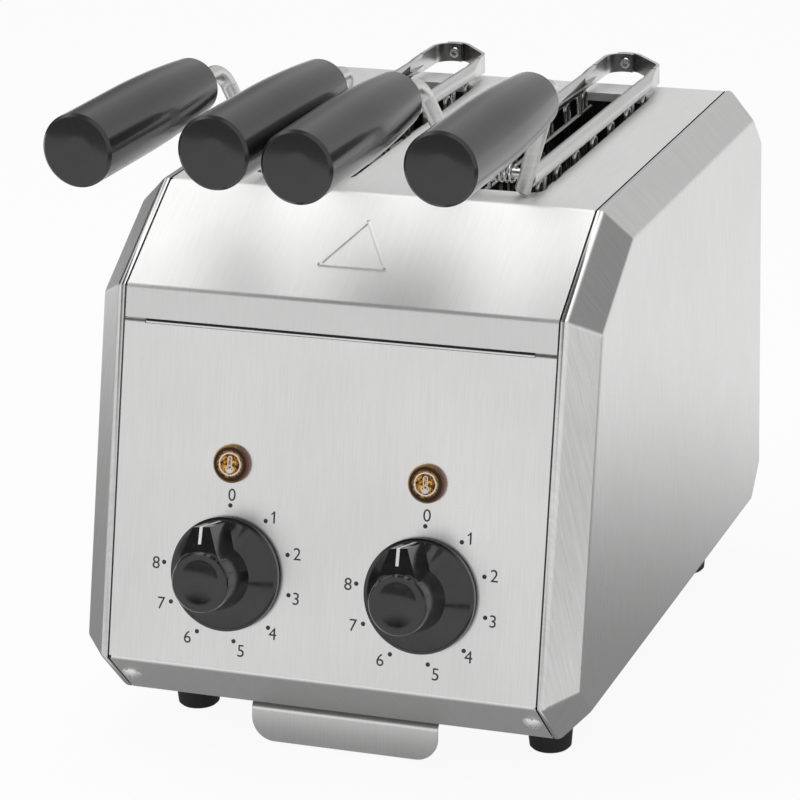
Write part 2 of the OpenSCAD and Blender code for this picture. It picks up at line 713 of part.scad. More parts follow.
// Ceramic collars that hold the tube ends in the bulkheads
module holder() rotate_extrude() polygon([[tube_d / 2 + run_gap, 0], [tube_d / 2 + holder_wall, 0],
    [tube_d / 2 + holder_wall, sheet_t], [holder_d / 2, sheet_t], [holder_d / 2, sheet_t + holder_t],
    [tube_d / 2 + run_gap, sheet_t + holder_t]]);

module heater_holders() color("#ece8df") for (k = [0:3], i = [0:tube_count - 1])
    translate([bank_x(k, heater_x), 0, tube_z(i)]) {
        translate([0, front_bulk_y + sheet_t, 0]) rotate([90, 0, 0]) holder();
        translate([0, rear_bulk_y, 0]) rotate([-90, 0, 0]) holder();
    }

// Guard: upright wires welded to two rails, which run from bulkhead to bulkhead
module guard(k) color(steel) {
    pitch = slot_l / guard_count;
    for (z = [guard_low, guard_top]) translate([bank_x(k, guard_rail_x), front_bulk_y - rail_end, z])
        rotate([-90, 0, 0]) cylinder(d = rail_d, h = rear_bulk_y - front_bulk_y + sheet_t + 2 * rail_end);
    for (i = [0:guard_count - 1])
        translate([bank_x(k, guard_x), y_a + slot_y + (i + 0.5) * pitch, guard_low - rail_d])
            cylinder(d = guard_d, h = guard_top - guard_low + rail_d * 1.5);
}

module guard_1() guard(0);
module guard_2() guard(1);
module guard_3() guard(2);
module guard_4() guard(3);

// Knob: stepped skirt, cone, tapered grip with a rolled edge, and the pointer fin
module knob() color(black) difference() {
    skirt = knob_d / 2;
    face = grip_face_d / 2;
    union() {
        rotate_extrude() difference() {
            polygon([[0, 0], [skirt - grip_edge, 0], [skirt, grip_edge], [skirt, knob_rim],
                [skirt - knob_step, knob_rim + knob_step / 2], [skirt - 2 * knob_step, knob_rim + knob_step / 2],
                [grip_d / 2, knob_cone_h], [face + grip_edge / 2, knob_h - 2 * grip_edge],
                [face - grip_edge, knob_h], [0, knob_h]]);
            translate([0, knob_h + dish_r - grip_dish]) circle(r = dish_r, $fn = 200);
        }
        intersection() {
            rotate([90, 0, 90]) linear_extrude(grip_d, center = true) polygon([[0, knob_rim], [fin_reach, knob_rim],
                [fin_reach, knob_h - fin_drop], [face, knob_h - fin_root_drop], [0, knob_h - fin_root_drop]]);
            linear_extrude(knob_h) polygon([[-face, 0], [face, 0], [fin_w / 2, fin_reach], [-fin_w / 2, fin_reach]]);
        }
    }
    translate([0, 0, -cut]) cylinder(d = recess_d, h = recess_h + cut);
    translate([0, 0, -cut]) cylinder(d = shaft_d + 2 * run_gap, h = shaft_top - knob_gap + cut + fit);
}

knob_places = [-knob_pitch / 2, knob_pitch / 2];

module left_knob() on_front(knob_places[0], knob_s) translate([0, 0, knob_gap]) rotate(knob_rest) knob();
module right_knob() on_front(knob_places[1], knob_s) translate([0, 0, knob_gap]) rotate(knob_rest) knob();

// Timer shaft: one round bar from the movement into the bore of the knob
module timer_shaft() color(steel) translate([0, 0, -shaft_low]) cylinder(d = shaft_d, h = shaft_low + shaft_top);
module left_timer_shaft() on_front(knob_places[0], knob_s) timer_shaft();
module right_timer_shaft() on_front(knob_places[1], knob_s) timer_shaft();

// Timer: boxed movement behind the panel, with a neck through it and solder tags
module timer() color("#3b3b3d") difference() {
    union() {
        translate([-timer_w / 2, -timer_w / 2, -sheet_t - timer_depth]) cube([timer_w, timer_w, timer_depth]);
        translate([0, 0, -sheet_t - cut]) cylinder(d = neck_d, h = sheet_t + cut + neck_out);
        for (i = [-1.5:1.5]) translate([i * tag_pitch - tag_w / 2, tag_w, -sheet_t - timer_depth - tag_l])
            cube([tag_w, tag_t, tag_l + cut]);
    }
    translate([0, 0, -shaft_low - cut]) cylinder(d = shaft_d + 2 * run_gap, h = big);
}

module left_timer() on_front(knob_places[0], knob_s) timer();
module right_timer() on_front(knob_places[1], knob_s) timer();

// Lamp lens: low amber dome on a spigot through the panel
module lamp_lens() color("#d9861f") {
    rotate_extrude() polygon([[0, 0], [lens_d / 2, 0], [lens_d / 2, lens_h * 0.6], [lens_d / 2 - lens_edge, lens_h],
        [0, lens_h]]);
    translate([0, 0, -sheet_t]) cylinder(d = lamp_d, h = sheet_t + lens_h / 4);
}

module left_lamp_lens() on_front(knob_places[0], lamp_s) lamp_lens();
module right_lamp_lens() on_front(knob_places[1], lamp_s) lamp_lens();

// Lamp body behind the panel, with its collar and two tags
module lamp_body() color(black) translate([0, 0, -sheet_t]) {
    translate([0, 0, -collar_h]) cylinder(d = lens_d, h = collar_h);
    translate([0, 0, -lamp_l]) cylinder(d = lamp_d, h = lamp_l - collar_h / 2);
    for (x = sides) translate([x * lamp_d / 4 - tag_t / 2, -tag_w / 2, -lamp_l - tag_l])
        cube([tag_t, tag_w, tag_l + cut]);
}

module left_lamp_body() on_front(knob_places[0], lamp_s) lamp_body();
module right_lamp_body() on_front(knob_places[1], lamp_s) lamp_body();

// Terminal block on the back of the rear bulkhead, with its screw wells facing up
module terminal_block() color("#e6e2d8")
    translate([gland_d - gland_x, rear_bulk_y + sheet_t, base_z + gland_z - block_h / 2]) difference() {
        cube([block_w, block_d, block_h]);
        for (i = [0:block_wells - 1]) translate([(i + 0.5) * block_w / block_wells, block_d / 2, block_h / 3])
            cylinder(d = block_w / block_wells / 2, h = block_h);
    }

// Gland through the rear panel: flange, spigot and domed nut round the cable bore
module cable_gland() color(black) on_rear(-gland_x, base_z + gland_z) difference() {
    union() {
        cylinder(d = gland_d, h = gland_flange, $fn = 6);
        translate([0, 0, gland_flange - cut / 2]) cylinder(d1 = gland_d * 0.8,
            d2 = gland_bore + gland_wall, h = gland_out - gland_flange + cut / 2);
        translate([0, 0, -sheet_t - gland_in]) cylinder(d = gland_bore + 2 * gland_wall, h = sheet_t + gland_in + cut);
    }
    translate([0, 0, -big / 2]) cylinder(d = gland_bore, h = big);
}

// Puts a piece of a tong in its slot: 0 is the left tong, 1 the right
tong_shift = [left_tong_shift, right_tong_shift];
tong_turn = [left_tong_turn, right_tong_turn];
module in_slot(t) translate([sides[t] * slot_pitch / 2 + tong_shift[t], y_a + mid_y, z_top])
    rotate([0, 0, tong_turn[t]]) translate([0, -mid_y, 0]) children();

// Lays a piece along a tube's middle, from y on to the rear
module lie(i, y) translate([arm_x[i], y, arm_z]) rotate([-90, 0, 0]) children();

// Ring sector of a strip, standing on z = 0, from angle a over span b
module bow(r, a, b) rotate([0, 0, a]) rotate_extrude(angle = b) translate([r - strip_t / 2, 0])
    square([strip_t, strip_h]);

// Straight stretch of strip along y, a hair thinner so that its ends sink into the bends
module stretch(l) translate([-strip_t / 2 + sink, -dip, strip_z + sink])
    cube([strip_t - 2 * sink, l + 2 * dip, strip_h - 2 * sink]);

// Strip from a tube's flat end to y
module flat(i, y) translate([arm_x[i], flat_y, 0]) stretch(y - flat_y);

// Left strip, bowed round past the rivet
module left_strip() union() {
    flat(0, bow_y);
    translate([bow_x, bow_y, strip_z]) bow(bow_r, 90 - lap_angle, 90 + lap_angle);
}

// Right strip, laid round the left one and brought back to its tube on a slant
module right_strip() union() {
    flat(1, bend_y);
    translate([bend_x, bend_y, strip_z]) bow(bend_r, 0, 90 - bow_slant);
    translate([bow_x, bow_y, strip_z]) bow(bow_outer, 90 - bow_slant, bow_slant + lap_angle);
    translate([bow_x, bow_y, 0]) rotate([0, 0, 90 - bow_slant]) translate([bow_outer, -slant_l, 0]) stretch(slant_l);
}

// Length in which a tube goes from round to flat: it grows taller as it is pressed thin
module pressed(i) intersection() {
    lie(i, flat_y - press_l) cylinder(d1 = arm_d - 2 * press_step, d2 = strip_h - 2 * press_step, h = press_l);
    translate([arm_x[i], flat_y, arm_z - strip_h]) linear_extrude(height = 2 * strip_h)
        polygon([[-arm_d / 2, -press_l - cut], [arm_d / 2, -press_l - cut], [arm_d / 2, -press_l],
            [strip_t / 2 + press_step, 0], [strip_t / 2 + press_step, cut],
            [-strip_t / 2 - press_step, cut], [-strip_t / 2 - press_step, 0], [-arm_d / 2, -press_l]]);
}

// Seam on the inner side of a tube, which opens towards the flat strip
open_x = [arm_x[0] + (strip_t + press_step) / 2, arm_x[1] - (strip_t + press_step) / 2 - arm_d];
module seam(i) translate([open_x[i], 0, 0]) rotate([90, 0, 90]) linear_extrude(height = arm_d) polygon(
    [[flat_y - seam_l, arm_z + seam_z], [flat_y + cut, arm_z - seam_z],
        [flat_y + cut, arm_z + arm_d / 2 + press_step]]);

// Half of a tong: a tube along the slot, coped round its bracket, pressed flat and bowed to the lap
module arm(t, i) color(steel) in_slot(t) difference() {
    tube_l = flat_y - press_l - riser_y;
    union() {
        lie(i, riser_y) cylinder(d = arm_d, h = tube_l);
        pressed(i);
        if (i == 0) left_strip();
        if (i == 1) right_strip();
    }
    lie(i, riser_y - cut) cylinder(d = arm_d - 2 * arm_wall, h = tube_l + cut - arm_wall);
    seam(i);
    riser(i, run_gap);
    peg(i, run_gap);
    translate([bow_x, bow_y, arm_z]) rotate([-90, 0, 0])
        cylinder(d = rivet_d + (i == 0 ? 2 * run_gap : 3 * fit), h = 2 * bow_outer);
}

// Tubular rivet through the lap: the inner head sits on the left strip, the outer one leaves room to flex
module rivet(t) color(steel) in_slot(t) translate([bow_x, bow_y, arm_z]) rotate([-90, 0, 0]) difference() {
    r_in = bow_r - strip_t / 2;
    seat = sqrt(r_in * r_in - rivet_head_d * rivet_head_d / 4);
    head = seat - rivet_head_t - run_gap;
    back = bow_outer + strip_t / 2 + flex_gap;
    union() {
        translate([0, 0, head]) cylinder(d1 = rivet_head_d - rivet_head_t, d2 = rivet_head_d, h = rivet_head_t);
        translate([0, 0, seat - rivet_head_t / 3]) cylinder(d = rivet_d, h = back - seat + rivet_head_t * 2 / 3);
        translate([0, 0, back]) cylinder(d1 = rivet_head_d, d2 = rivet_head_d - rivet_head_t, h = rivet_head_t);
    }
    translate([0, 0, head - cut]) cylinder(d = rivet_bore, h = back - head);
}

// Leans a bracket outwards round its foot
module leaning(i) translate([sides[i] * bracket_x, 0, 0]) rotate([0, sides[i] * lean(i), 0]) children();

// Rising tube of a bracket, widened by a gap for the cope of its arm
module riser(i, gap) leaning(i) translate([0, riser_y, foot(i)]) rotate([bracket_tilt, 0, 0])
    translate([0, 0, -bracket_d / 2]) rotate_extrude() polygon([[0, -gap], [bracket_d / 4, -gap],
        [bracket_d / 2 + gap, bracket_d / 4], [bracket_d / 2 + gap, riser_l(i) + bracket_d / 2],
        [0, riser_l(i) + bracket_d / 2]]);

// Tang of a bracket, widened by a gap for the hole in the handle
module tang(i, gap) leaning(i) translate([0, crook_y(i), rise(i)]) rotate([90, 0, 0])
    cylinder(d = bracket_d + 2 * gap, h = crook_y(i) - handle_rear + tang_l + gap);

// Peg of a bracket for the spring, widened by a gap for the cope of its arm
module peg(i, gap) translate([sides[i] * (spring_end(i) + cut), spring_y, spring_z]) rotate([0, sides[i] * -90, 0])
    cylinder(d = peg_d + 2 * gap, h = peg_l + cut);

// Bracket: round-footed tube that rises from the arm and turns forward into the handle
module bracket(t, i) color(steel) in_slot(t) {
    riser(i, 0);
    leaning(i) translate([0, crook_y(i), rise(i) - bracket_r]) rotate([90, 0, 90])
        rotate([0, 0, bracket_tilt - crook_lap]) rotate_extrude(angle = 90 - bracket_tilt + 2 * crook_lap)
            translate([bracket_r, 0]) circle(d = bracket_d - 2 * run_gap);
    tang(i, 0);
    peg(i, 0);
}

// Half section of a handle: a straight grip whose rear draws in along a wide arc
taper_l = handle_l - handle_grip_l;
taper_in = (handle_d - handle_rear_d) / 2;
taper_r = (taper_l * taper_l + taper_in * taper_in) / (2 * taper_in);
module handle_section() {
    intersection() {
        polygon([[0, 0], [handle_rear_d / 2 - handle_edge, 0], [handle_d / 2, taper_in + handle_edge],
            [handle_d / 2, taper_l], [0, taper_l]]);
        translate([handle_d / 2 - taper_r, taper_l]) circle(r = taper_r, $fn = 720);
    }
    polygon([[0, taper_l], [handle_d / 2, taper_l], [handle_d / 2, handle_l - handle_edge],
        [handle_d / 2 - handle_edge, handle_l], [0, handle_l]]);
}

// Handle: turned grip with the tang's hole
module handle(t, i) color(black) in_slot(t) difference() {
    translate([sides[i] * handle_x, handle_rear, handle_zs[i]]) rotate([90, 0, 0]) rotate_extrude() handle_section();
    tang(i, run_gap);
}

// Grid: hairpins under the tube on two rails, posts to the tube, and a comb of short bread rests
// that is welded under the lower rail
module grid(t, i) color(steel) in_slot(t) {
    crown = arm_z - arm_d / 2 - run_gap - wire_d / 2 - pin_gap / 2;
    rail_z = crown - pin_gap;
    comb_z = -grid_depth + grid_rail_d / 2;
    low = comb_z + grid_rail_d + run_gap;
    for (k = [0:pin_count - 1]) translate([arm_x[i], grid_front + pin_gap / 2 + k * pin_pitch, 0]) {
        for (s = sides) translate([0, s * pin_gap / 2, low]) cylinder(d = wire_d, h = crown - low);
        translate([0, 0, crown]) rotate([90, 0, 90]) rotate_extrude(angle = 180)
            translate([pin_gap / 2, 0]) circle(d = wire_d);
    }
    for (z = [comb_z, low, rail_z]) translate([grid_rail(i), grid_front - grid_rail_d / 2, z]) rotate([-90, 0, 0])
        cylinder(d = grid_rail_d, h = grid_rear - grid_front + grid_rail_d);
    difference() {
        for (y = [grid_front + pin_gap / 2 + pin_pitch / 2, grid_rear - pin_gap / 2 - pin_pitch / 2])
            translate([grid_rail(i), y, rail_z]) cylinder(d = grid_rail_d, h = arm_z - rail_z);
        lie(i, grid_front) cylinder(d = arm_d + 2 * run_gap, h = grid_rear - grid_front);
    }
    for (k = [0:pin_count - 2])
        translate([grid_rail(i), grid_front + pin_gap / 2 + (k + 0.35 + 0.3 * i) * pin_pitch, comb_z])
            rotate([0, sides[i] * -90, 0]) cylinder(d = wire_d, h = grid_rail_d / 2 + rest_l);
}

// Spring: one wire wound between the brackets, with a straight end at each peg
rings_per_turn = 8;
wire_sides = 6;
function coil_x(u) = -spring_end(0) + slide_gap + spring_wire * 1.5
    + u * (spring_end(0) + spring_end(1) - 2 * slide_gap - 3 * spring_wire);
function coil_point(u) = let (a = 360 * spring_turns * u)
    [coil_x(u), spring_r * sin(a), spring_r * cos(a)];
coil_steps = spring_turns * rings_per_turn;
coil_path = concat([coil_point(0) - [spring_wire, 0, 0]], [for (i = [0:coil_steps]) coil_point(i / coil_steps)],
    [coil_point(1) + [spring_wire, 0, 0]]);
coil_last = len(coil_path) - 1;
function coil_tangent(i) = unit(coil_path[min(i + 1, coil_last)] - coil_path[max(i - 1, 0)]);
function coil_out(i) = unit([0, coil_path[i][1], coil_path[i][2]]);
coil_points = [for (i = [0:coil_last], k = [0:wire_sides - 1])
    let (o = coil_out(i), b = cross(coil_tangent(i), o), a = 360 * k / wire_sides)
    coil_path[i] + spring_wire / 2 * (o * cos(a) + b * sin(a))];
coil_faces = concat(
    [[for (k = [wire_sides - 1:-1:0]) k], [for (k = [0:wire_sides - 1]) coil_last * wire_sides + k]],
    [for (i = [0:coil_last - 1], k = [0:wire_sides - 1])
        let (a = i * wire_sides + k, b = i * wire_sides + (k + 1) % wire_sides) [a, b, b + wire_sides]],
    [for (i = [0:coil_last - 1], k = [0:wire_sides - 1])
        let (a = i * wire_sides + k, b = i * wire_sides + (k + 1) % wire_sides) [a, b + wire_sides, a + wire_sides]]);
coil_gap = min([for (i = [0:coil_last], j = [0:coil_last]) if (j - i > rings_per_turn / 2)
    norm(coil_path[i] - coil_path[j])]) - spring_wire;
echo(least_gap_between_spring_turns = coil_gap);

module spring(t) color(steel) in_slot(t) translate([0, spring_y, spring_z])
    polyhedron(coil_points, coil_faces);

module left_tong_left_arm() arm(0, 0);
module left_tong_right_arm() arm(0, 1);
module left_tong_left_bracket() bracket(0, 0);
module left_tong_right_bracket() bracket(0, 1);
module left_tong_left_handle() handle(0, 0);
module left_tong_right_handle() handle(0, 1);
module left_tong_left_grid() grid(0, 0);
module left_tong_right_grid() grid(0, 1);
module left_tong_rivet() rivet(0);
module left_tong_spring() spring(0);
module right_tong_left_arm() arm(1, 0);
module right_tong_right_arm() arm(1, 1);
module right_tong_left_bracket() bracket(1, 0);
module right_tong_right_bracket() bracket(1, 1);
module right_tong_left_handle() handle(1, 0);
module right_tong_right_handle() handle(1, 1);
module right_tong_left_grid() grid(1, 0);
module right_tong_right_grid() grid(1, 1);
module right_tong_rivet() rivet(1);
module right_tong_spring() spring(1);

left_side_panel();
right_side_panel();
top_cover();
front_panel();
rear_panel();
base_plate();
crumb_tray();
tray_runners();
feet();
front_screws();
rear_screws();
left_chassis_plate();
right_chassis_plate();
front_bulkhead();
rear_bulkhead();
left_reflector();
centre_reflector();
right_reflector();
heater_1();
heater_2();
heater_3();
heater_4();
heater_holders();
guard_1();
guard_2();
guard_3();
guard_4();
left_knob();
right_knob();
left_timer_shaft();
right_timer_shaft();
left_timer();
right_timer();
left_lamp_lens();
right_lamp_lens();
left_lamp_body();
right_lamp_body();
terminal_block();
cable_gland();
left_tong_left_arm();
left_tong_right_arm();
left_tong_left_bracket();
left_tong_right_bracket();
left_tong_left_handle();
left_tong_right_handle();
left_tong_left_grid();
left_tong_right_grid();
left_tong_rivet();
left_tong_spring();
right_tong_left_arm();
right_tong_right_arm();
right_tong_left_bracket();
right_tong_right_bracket();
right_tong_left_handle();
right_tong_right_handle();
right_tong_left_grid();
right_tong_right_grid();
right_tong_rivet();
right_tong_spring();
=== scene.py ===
import json
import math

import bmesh
import bpy
from mathutils import Matrix, Vector


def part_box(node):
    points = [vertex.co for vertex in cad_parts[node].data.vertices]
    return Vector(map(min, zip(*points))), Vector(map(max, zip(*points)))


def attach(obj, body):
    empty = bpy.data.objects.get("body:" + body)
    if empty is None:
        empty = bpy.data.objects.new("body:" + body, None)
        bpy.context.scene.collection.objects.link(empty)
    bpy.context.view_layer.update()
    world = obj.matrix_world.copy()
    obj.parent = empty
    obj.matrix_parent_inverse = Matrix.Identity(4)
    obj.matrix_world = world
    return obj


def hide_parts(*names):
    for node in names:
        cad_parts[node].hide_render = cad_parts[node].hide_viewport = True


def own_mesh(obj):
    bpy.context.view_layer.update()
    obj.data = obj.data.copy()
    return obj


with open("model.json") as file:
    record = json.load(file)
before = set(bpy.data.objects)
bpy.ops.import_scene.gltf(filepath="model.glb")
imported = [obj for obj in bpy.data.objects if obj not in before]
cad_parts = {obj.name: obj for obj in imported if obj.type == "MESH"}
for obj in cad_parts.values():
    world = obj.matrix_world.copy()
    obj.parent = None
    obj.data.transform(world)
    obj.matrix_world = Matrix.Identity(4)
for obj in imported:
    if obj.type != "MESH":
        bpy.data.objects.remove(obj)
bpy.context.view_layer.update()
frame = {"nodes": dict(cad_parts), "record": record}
solids = frame["nodes"]
mm = 0.001


# Camera: a long lens in front and to the right, a little above the handles.
# Its place and turn were solved from the edges of the body in the picture.
lens = bpy.data.cameras.new("camera")
lens.sensor_width = 36
lens.lens = 165.792
lens.clip_end = 20
camera = bpy.data.objects.new("camera", lens)
bpy.context.scene.collection.objects.link(camera)
camera.matrix_world = Matrix((
    (0.940056, -0.089656, 0.329022, 0.523396),
    (0.340095, 0.317438, -0.885194, -1.440141),
    (-0.025081, 0.944031, 0.328901, 0.656025),
    (0, 0, 0, 1)))
bpy.context.scene.camera = camera
bpy.context.scene.view_settings.view_transform = "Standard"


# Chassis, bulkheads, base and runners: folded mill steel, spot welded inside the body.
# The grain of the rolling mill shows as long faint lines, and the bulkheads and reflectors of the chamber
# are painted dark as the shade inside the body.
def feed(tree, socket, value):
    """Links a socket to the one that feeds it, or sets it where the value is a plain one."""
    if isinstance(value, bpy.types.NodeSocket):
        tree.links.new(value, socket)
    else:
        socket.default_value = value


def worked(tree, operation, *values):
    """Does one step of arithmetic with numbers and sockets."""
    step = tree.nodes.new("ShaderNodeMath")
    step.operation = operation
    for socket, value in zip(step.inputs, values):
        feed(tree, socket, value)
    return step.outputs[0]


def worked_vector(tree, operation, *values):
    """Does one step with places or directions; a length or a dot product comes out as a number."""
    step = tree.nodes.new("ShaderNodeVectorMath")
    step.operation = operation
    for socket, value in zip(step.inputs, values):
        feed(tree, socket, value)
    return step.outputs["Value" if operation in ("LENGTH", "DOT_PRODUCT") else "Vector"]


def ramped(tree, value, start, full, low=0, high=1, curve="SMOOTHSTEP"):
    """Turns a value that runs from start to full into one that runs from low to high."""
    ramp = tree.nodes.new("ShaderNodeMapRange")
    ramp.interpolation_type = curve
    for label, number in (("From Min", start), ("From Max", full), ("To Min", low), ("To Max", high)):
        ramp.inputs[label].default_value = number
    tree.links.new(value, ramp.inputs["Value"])
    return ramp.outputs[0]


def noise(tree, place, scale, detail, rough=0.5):
    """A soft random pattern, its finer steps counted by detail and kept by rough."""
    cloud = tree.nodes.new("ShaderNodeTexNoise")
    cloud.inputs["Detail"].default_value = detail
    cloud.inputs["Roughness"].default_value = rough
    feed(tree, cloud.inputs["Scale"], scale)
    tree.links.new(place, cloud.inputs["Vector"])
    return cloud.outputs["Fac"]


def pattern_group(name, takes, gives):
    """Starts a node group that takes a place and named numbers and gives named numbers."""
    group = bpy.data.node_groups.new(name, "ShaderNodeTree")
    group.interface.new_socket("Vector", in_out="INPUT", socket_type="NodeSocketVector")
    for label in takes:
        group.interface.new_socket(label, in_out="INPUT", socket_type="NodeSocketFloat")
    for label in gives:
        group.interface.new_socket(label, in_out="OUTPUT", socket_type="NodeSocketFloat")
    start = group.nodes.new("NodeGroupInput")
    end = group.nodes.new("NodeGroupOutput")
    return group, start.outputs, end.inputs


clouds_per_metre = 14


def brushed_lines():
    """Builds the group that draws long fine lines across X, with broad cloudy changes under them."""
    group, takes, gives = pattern_group("brushed_lines", ("Lines per metre", "Stretch"), ("Lines", "Cloud"))
    along = worked(group, "DIVIDE", takes["Lines per metre"], takes["Stretch"])
    scale = group.nodes.new("ShaderNodeCombineXYZ")
    group.links.new(takes["Lines per metre"], scale.inputs["X"])
    group.links.new(along, scale.inputs["Y"])
    group.links.new(along, scale.inputs["Z"])
    stretched = worked_vector(group, "MULTIPLY", takes["Vector"], scale.outputs[0])
    group.links.new(noise(group, stretched, 1, 5, rough=0.65), gives["Lines"])
    group.links.new(noise(group, takes["Vector"], clouds_per_metre, 3), gives["Cloud"])
    return group


lines = brushed_lines()


def new_finish(name):
    """Starts a material, and gives it with its nodes, its shader and the place on the piece."""
    finish = bpy.data.materials.new(name)
    finish.use_nodes = True
    tree = finish.node_tree
    place = tree.nodes.new("ShaderNodeTexCoord")
    return finish, tree, tree.nodes["Principled BSDF"], place.outputs["Object"]


noise_span = (0.3, 0.7)
grain_height = 0.2 * mm


def raised(tree, shader, pattern, depth):
    """Lets a pattern stand out from the surface by a share of the height of the grain."""
    bump = tree.nodes.new("ShaderNodeBump")
    bump.inputs["Strength"].default_value = depth
    bump.inputs["Distance"].default_value = grain_height
    tree.links.new(pattern, bump.inputs["Height"])
    tree.links.new(bump.outputs[0], shader.inputs["Normal"])


def grained(tree, shader, pattern, cloud, span, tones, rough, spread, depth):
    """Lets a pattern set height, and colour between two tones over its span, and a cloud set the gloss."""
    tone = tree.nodes.new("ShaderNodeValToRGB")
    for element, stop, colour in zip(tone.color_ramp.elements, span, tones):
        element.position = stop
        element.color = (*colour, 1)
    tree.links.new(pattern, tone.inputs["Fac"])
    tree.links.new(tone.outputs["Color"], shader.inputs["Base Color"])
    polish = ramped(tree, cloud, *noise_span, rough - spread, rough + spread, curve="LINEAR")
    tree.links.new(polish, shader.inputs["Roughness"])
    raised(tree, shader, pattern, depth)


def steel(name, dark, light, rough, spread, turn=(0, 0, 0), per_metre=1500, stretch=60, depth=0.05):
    """Steel whose lines run across local X after the turn; rough changes by spread over the sheet."""
    finish, tree, shader, place = new_finish(name)
    shader.inputs["Metallic"].default_value = 1
    turned_to = tree.nodes.new("ShaderNodeMapping")
    turned_to.inputs["Rotation"].default_value = turn
    tree.links.new(place, turned_to.inputs["Vector"])
    grain = tree.nodes.new("ShaderNodeGroup")
    grain.node_tree = lines
    grain.inputs["Lines per metre"].default_value = per_metre
    grain.inputs["Stretch"].default_value = stretch
    tree.links.new(turned_to.outputs[0], grain.inputs["Vector"])
    grained(tree, shader, grain.outputs["Lines"], grain.outputs["Cloud"], noise_span, (dark, light),
            rough, spread, depth)
    return finish


def dress(node, finish):
    """Gives a CAD solid, or a new piece, one finish all over."""
    piece = solids[node] if isinstance(node, str) else node
    piece.data.materials.clear()
    piece.data.materials.append(finish)


mill_steel = steel("mill_steel", (0.26, 0.255, 0.25), (0.36, 0.355, 0.35), 0.38, 0.06, per_metre=700)
# Painted shade: a dark copy of the steel for the inside of the chamber.
chamber_shade_steel = steel("chamber_shade_steel", (0.05, 0.046, 0.04), (0.11, 0.10, 0.09), 0.45, 0.1, per_metre=500)
for node in ("left_chassis_plate", "right_chassis_plate", "base_plate", "tray_runners"):
    dress(node, mill_steel)
for node in ("front_bulkhead", "rear_bulkhead", "left_reflector", "centre_reflector", "right_reflector"):
    dress(node, chamber_shade_steel)


# Heaters and guards: quartz tubes in ceramic collars, behind welded wire guards.
# The tubes are milky from use, the collars chalky, and the wires stained by the heat.
def mottling():
    """Builds the group that draws soft specks without a direction."""
    group, takes, gives = pattern_group("mottling", ("Specks per metre",), ("Speck",))
    group.links.new(noise(group, takes["Vector"], takes["Specks per metre"], 4), gives["Speck"])
    return group


specks = mottling()
speck_span = (0.35, 0.65)
gloss_spread = 0.05
coat_rough = 0.06


def mottled(name, dark, light, rough, per_metre, depth, coat=0.0):
    """A finish without a direction: soft mottling in colour, gloss and height."""
    finish, tree, shader, place = new_finish(name)
    shader.inputs["Coat Weight"].default_value = coat
    shader.inputs["Coat Roughness"].default_value = coat_rough
    speck = tree.nodes.new("ShaderNodeGroup")
    speck.node_tree = specks
    speck.inputs["Specks per metre"].default_value = per_metre
    tree.links.new(place, speck.inputs["Vector"])
    grained(tree, shader, speck.outputs["Speck"], speck.outputs["Speck"], speck_span, (dark, light),
            rough, gloss_spread, depth)
    return finish


milky_quartz = mottled("milky_quartz", (0.42, 0.40, 0.36), (0.62, 0.59, 0.55), 0.2, 60, 0.05, coat=0.6)
chalky_ceramic = mottled("chalky_ceramic", (0.62, 0.60, 0.55), (0.76, 0.74, 0.69), 0.75, 400, 0.3)
stained_wire = steel("stained_wire", (0.14, 0.13, 0.11), (0.26, 0.25, 0.23), 0.28, 0.06,
                     per_metre=300, stretch=8)
for number in (1, 2, 3, 4):
    dress(f"heater_{number}", milky_quartz)
    dress(f"guard_{number}", stained_wire)
dress("heater_holders", chalky_ceramic)
dress("terminal_block", chalky_ceramic)


# Timers, shafts and lamp bodies: moulded and turned pieces that sit behind the front.
# Only their necks and spigots reach through the panel, under the knobs and lenses.
moulded_black = mottled("moulded_black", (0.030, 0.030, 0.031), (0.045, 0.045, 0.046), 0.5, 700, 0.2)
bright_steel = steel("bright_steel", (0.62, 0.62, 0.61), (0.76, 0.76, 0.75), 0.16, 0.04,
                     per_metre=900, depth=0.02)
for side in ("left", "right"):
    dress(f"{side}_timer", moulded_black)
    dress(f"{side}_lamp_body", moulded_black)
    dress(f"{side}_timer_shaft", bright_steel)
dress("cable_gland", moulded_black)


# Top cover, front panel, rear panel and tray: satin stainless sheet with the brushing up and down.
# Each is cut and folded from one sheet, so every bend keeps a small round and no edge is sharp.
# An edge is a fold where its faces turn, in degrees, by something between the first two of these values.
slight_turn = 10
near_right_turn = 80
any_turn = 181
smooth_turn = 32
fold_rounds = 6
weld_gap = 0.002 * mm
clean_gap = 0.004 * mm


def pick_up(piece):
    """Selects one piece alone, so that the operators that follow act on it and on nothing else."""
    bpy.ops.object.select_all(action="DESELECT")
    piece.select_set(True)
    bpy.context.view_layer.objects.active = piece


def mark_edges(piece, low, high, least):
    """Gives a bevel weight to the edges whose faces meet between two angles and that are long enough."""
    shape = bmesh.new()
    shape.from_mesh(piece.data)
    weight = shape.edges.layers.float.get("bevel_weight_edge")
    if weight is None:
        weight = shape.edges.layers.float.new("bevel_weight_edge")
    for edge in shape.edges:
        turn = math.degrees(edge.calc_face_angle(0))
        edge[weight] = float(low < turn < high and edge.calc_length() > least * mm)
    shape.to_mesh(piece.data)
    shape.free()


def round_edges(piece, width, rounds, angle=None):
    """Rounds the edges that have a weight, or those that turn by more than an angle where one is given."""
    rounder = piece.modifiers.new("rounder", "BEVEL")
    rounder.width = width * mm
    rounder.segments = rounds
    rounder.limit_method = "WEIGHT"
    if angle:
        rounder.limit_method = "ANGLE"
        rounder.angle_limit = math.radians(angle)
    bpy.ops.object.modifier_apply(modifier="rounder")


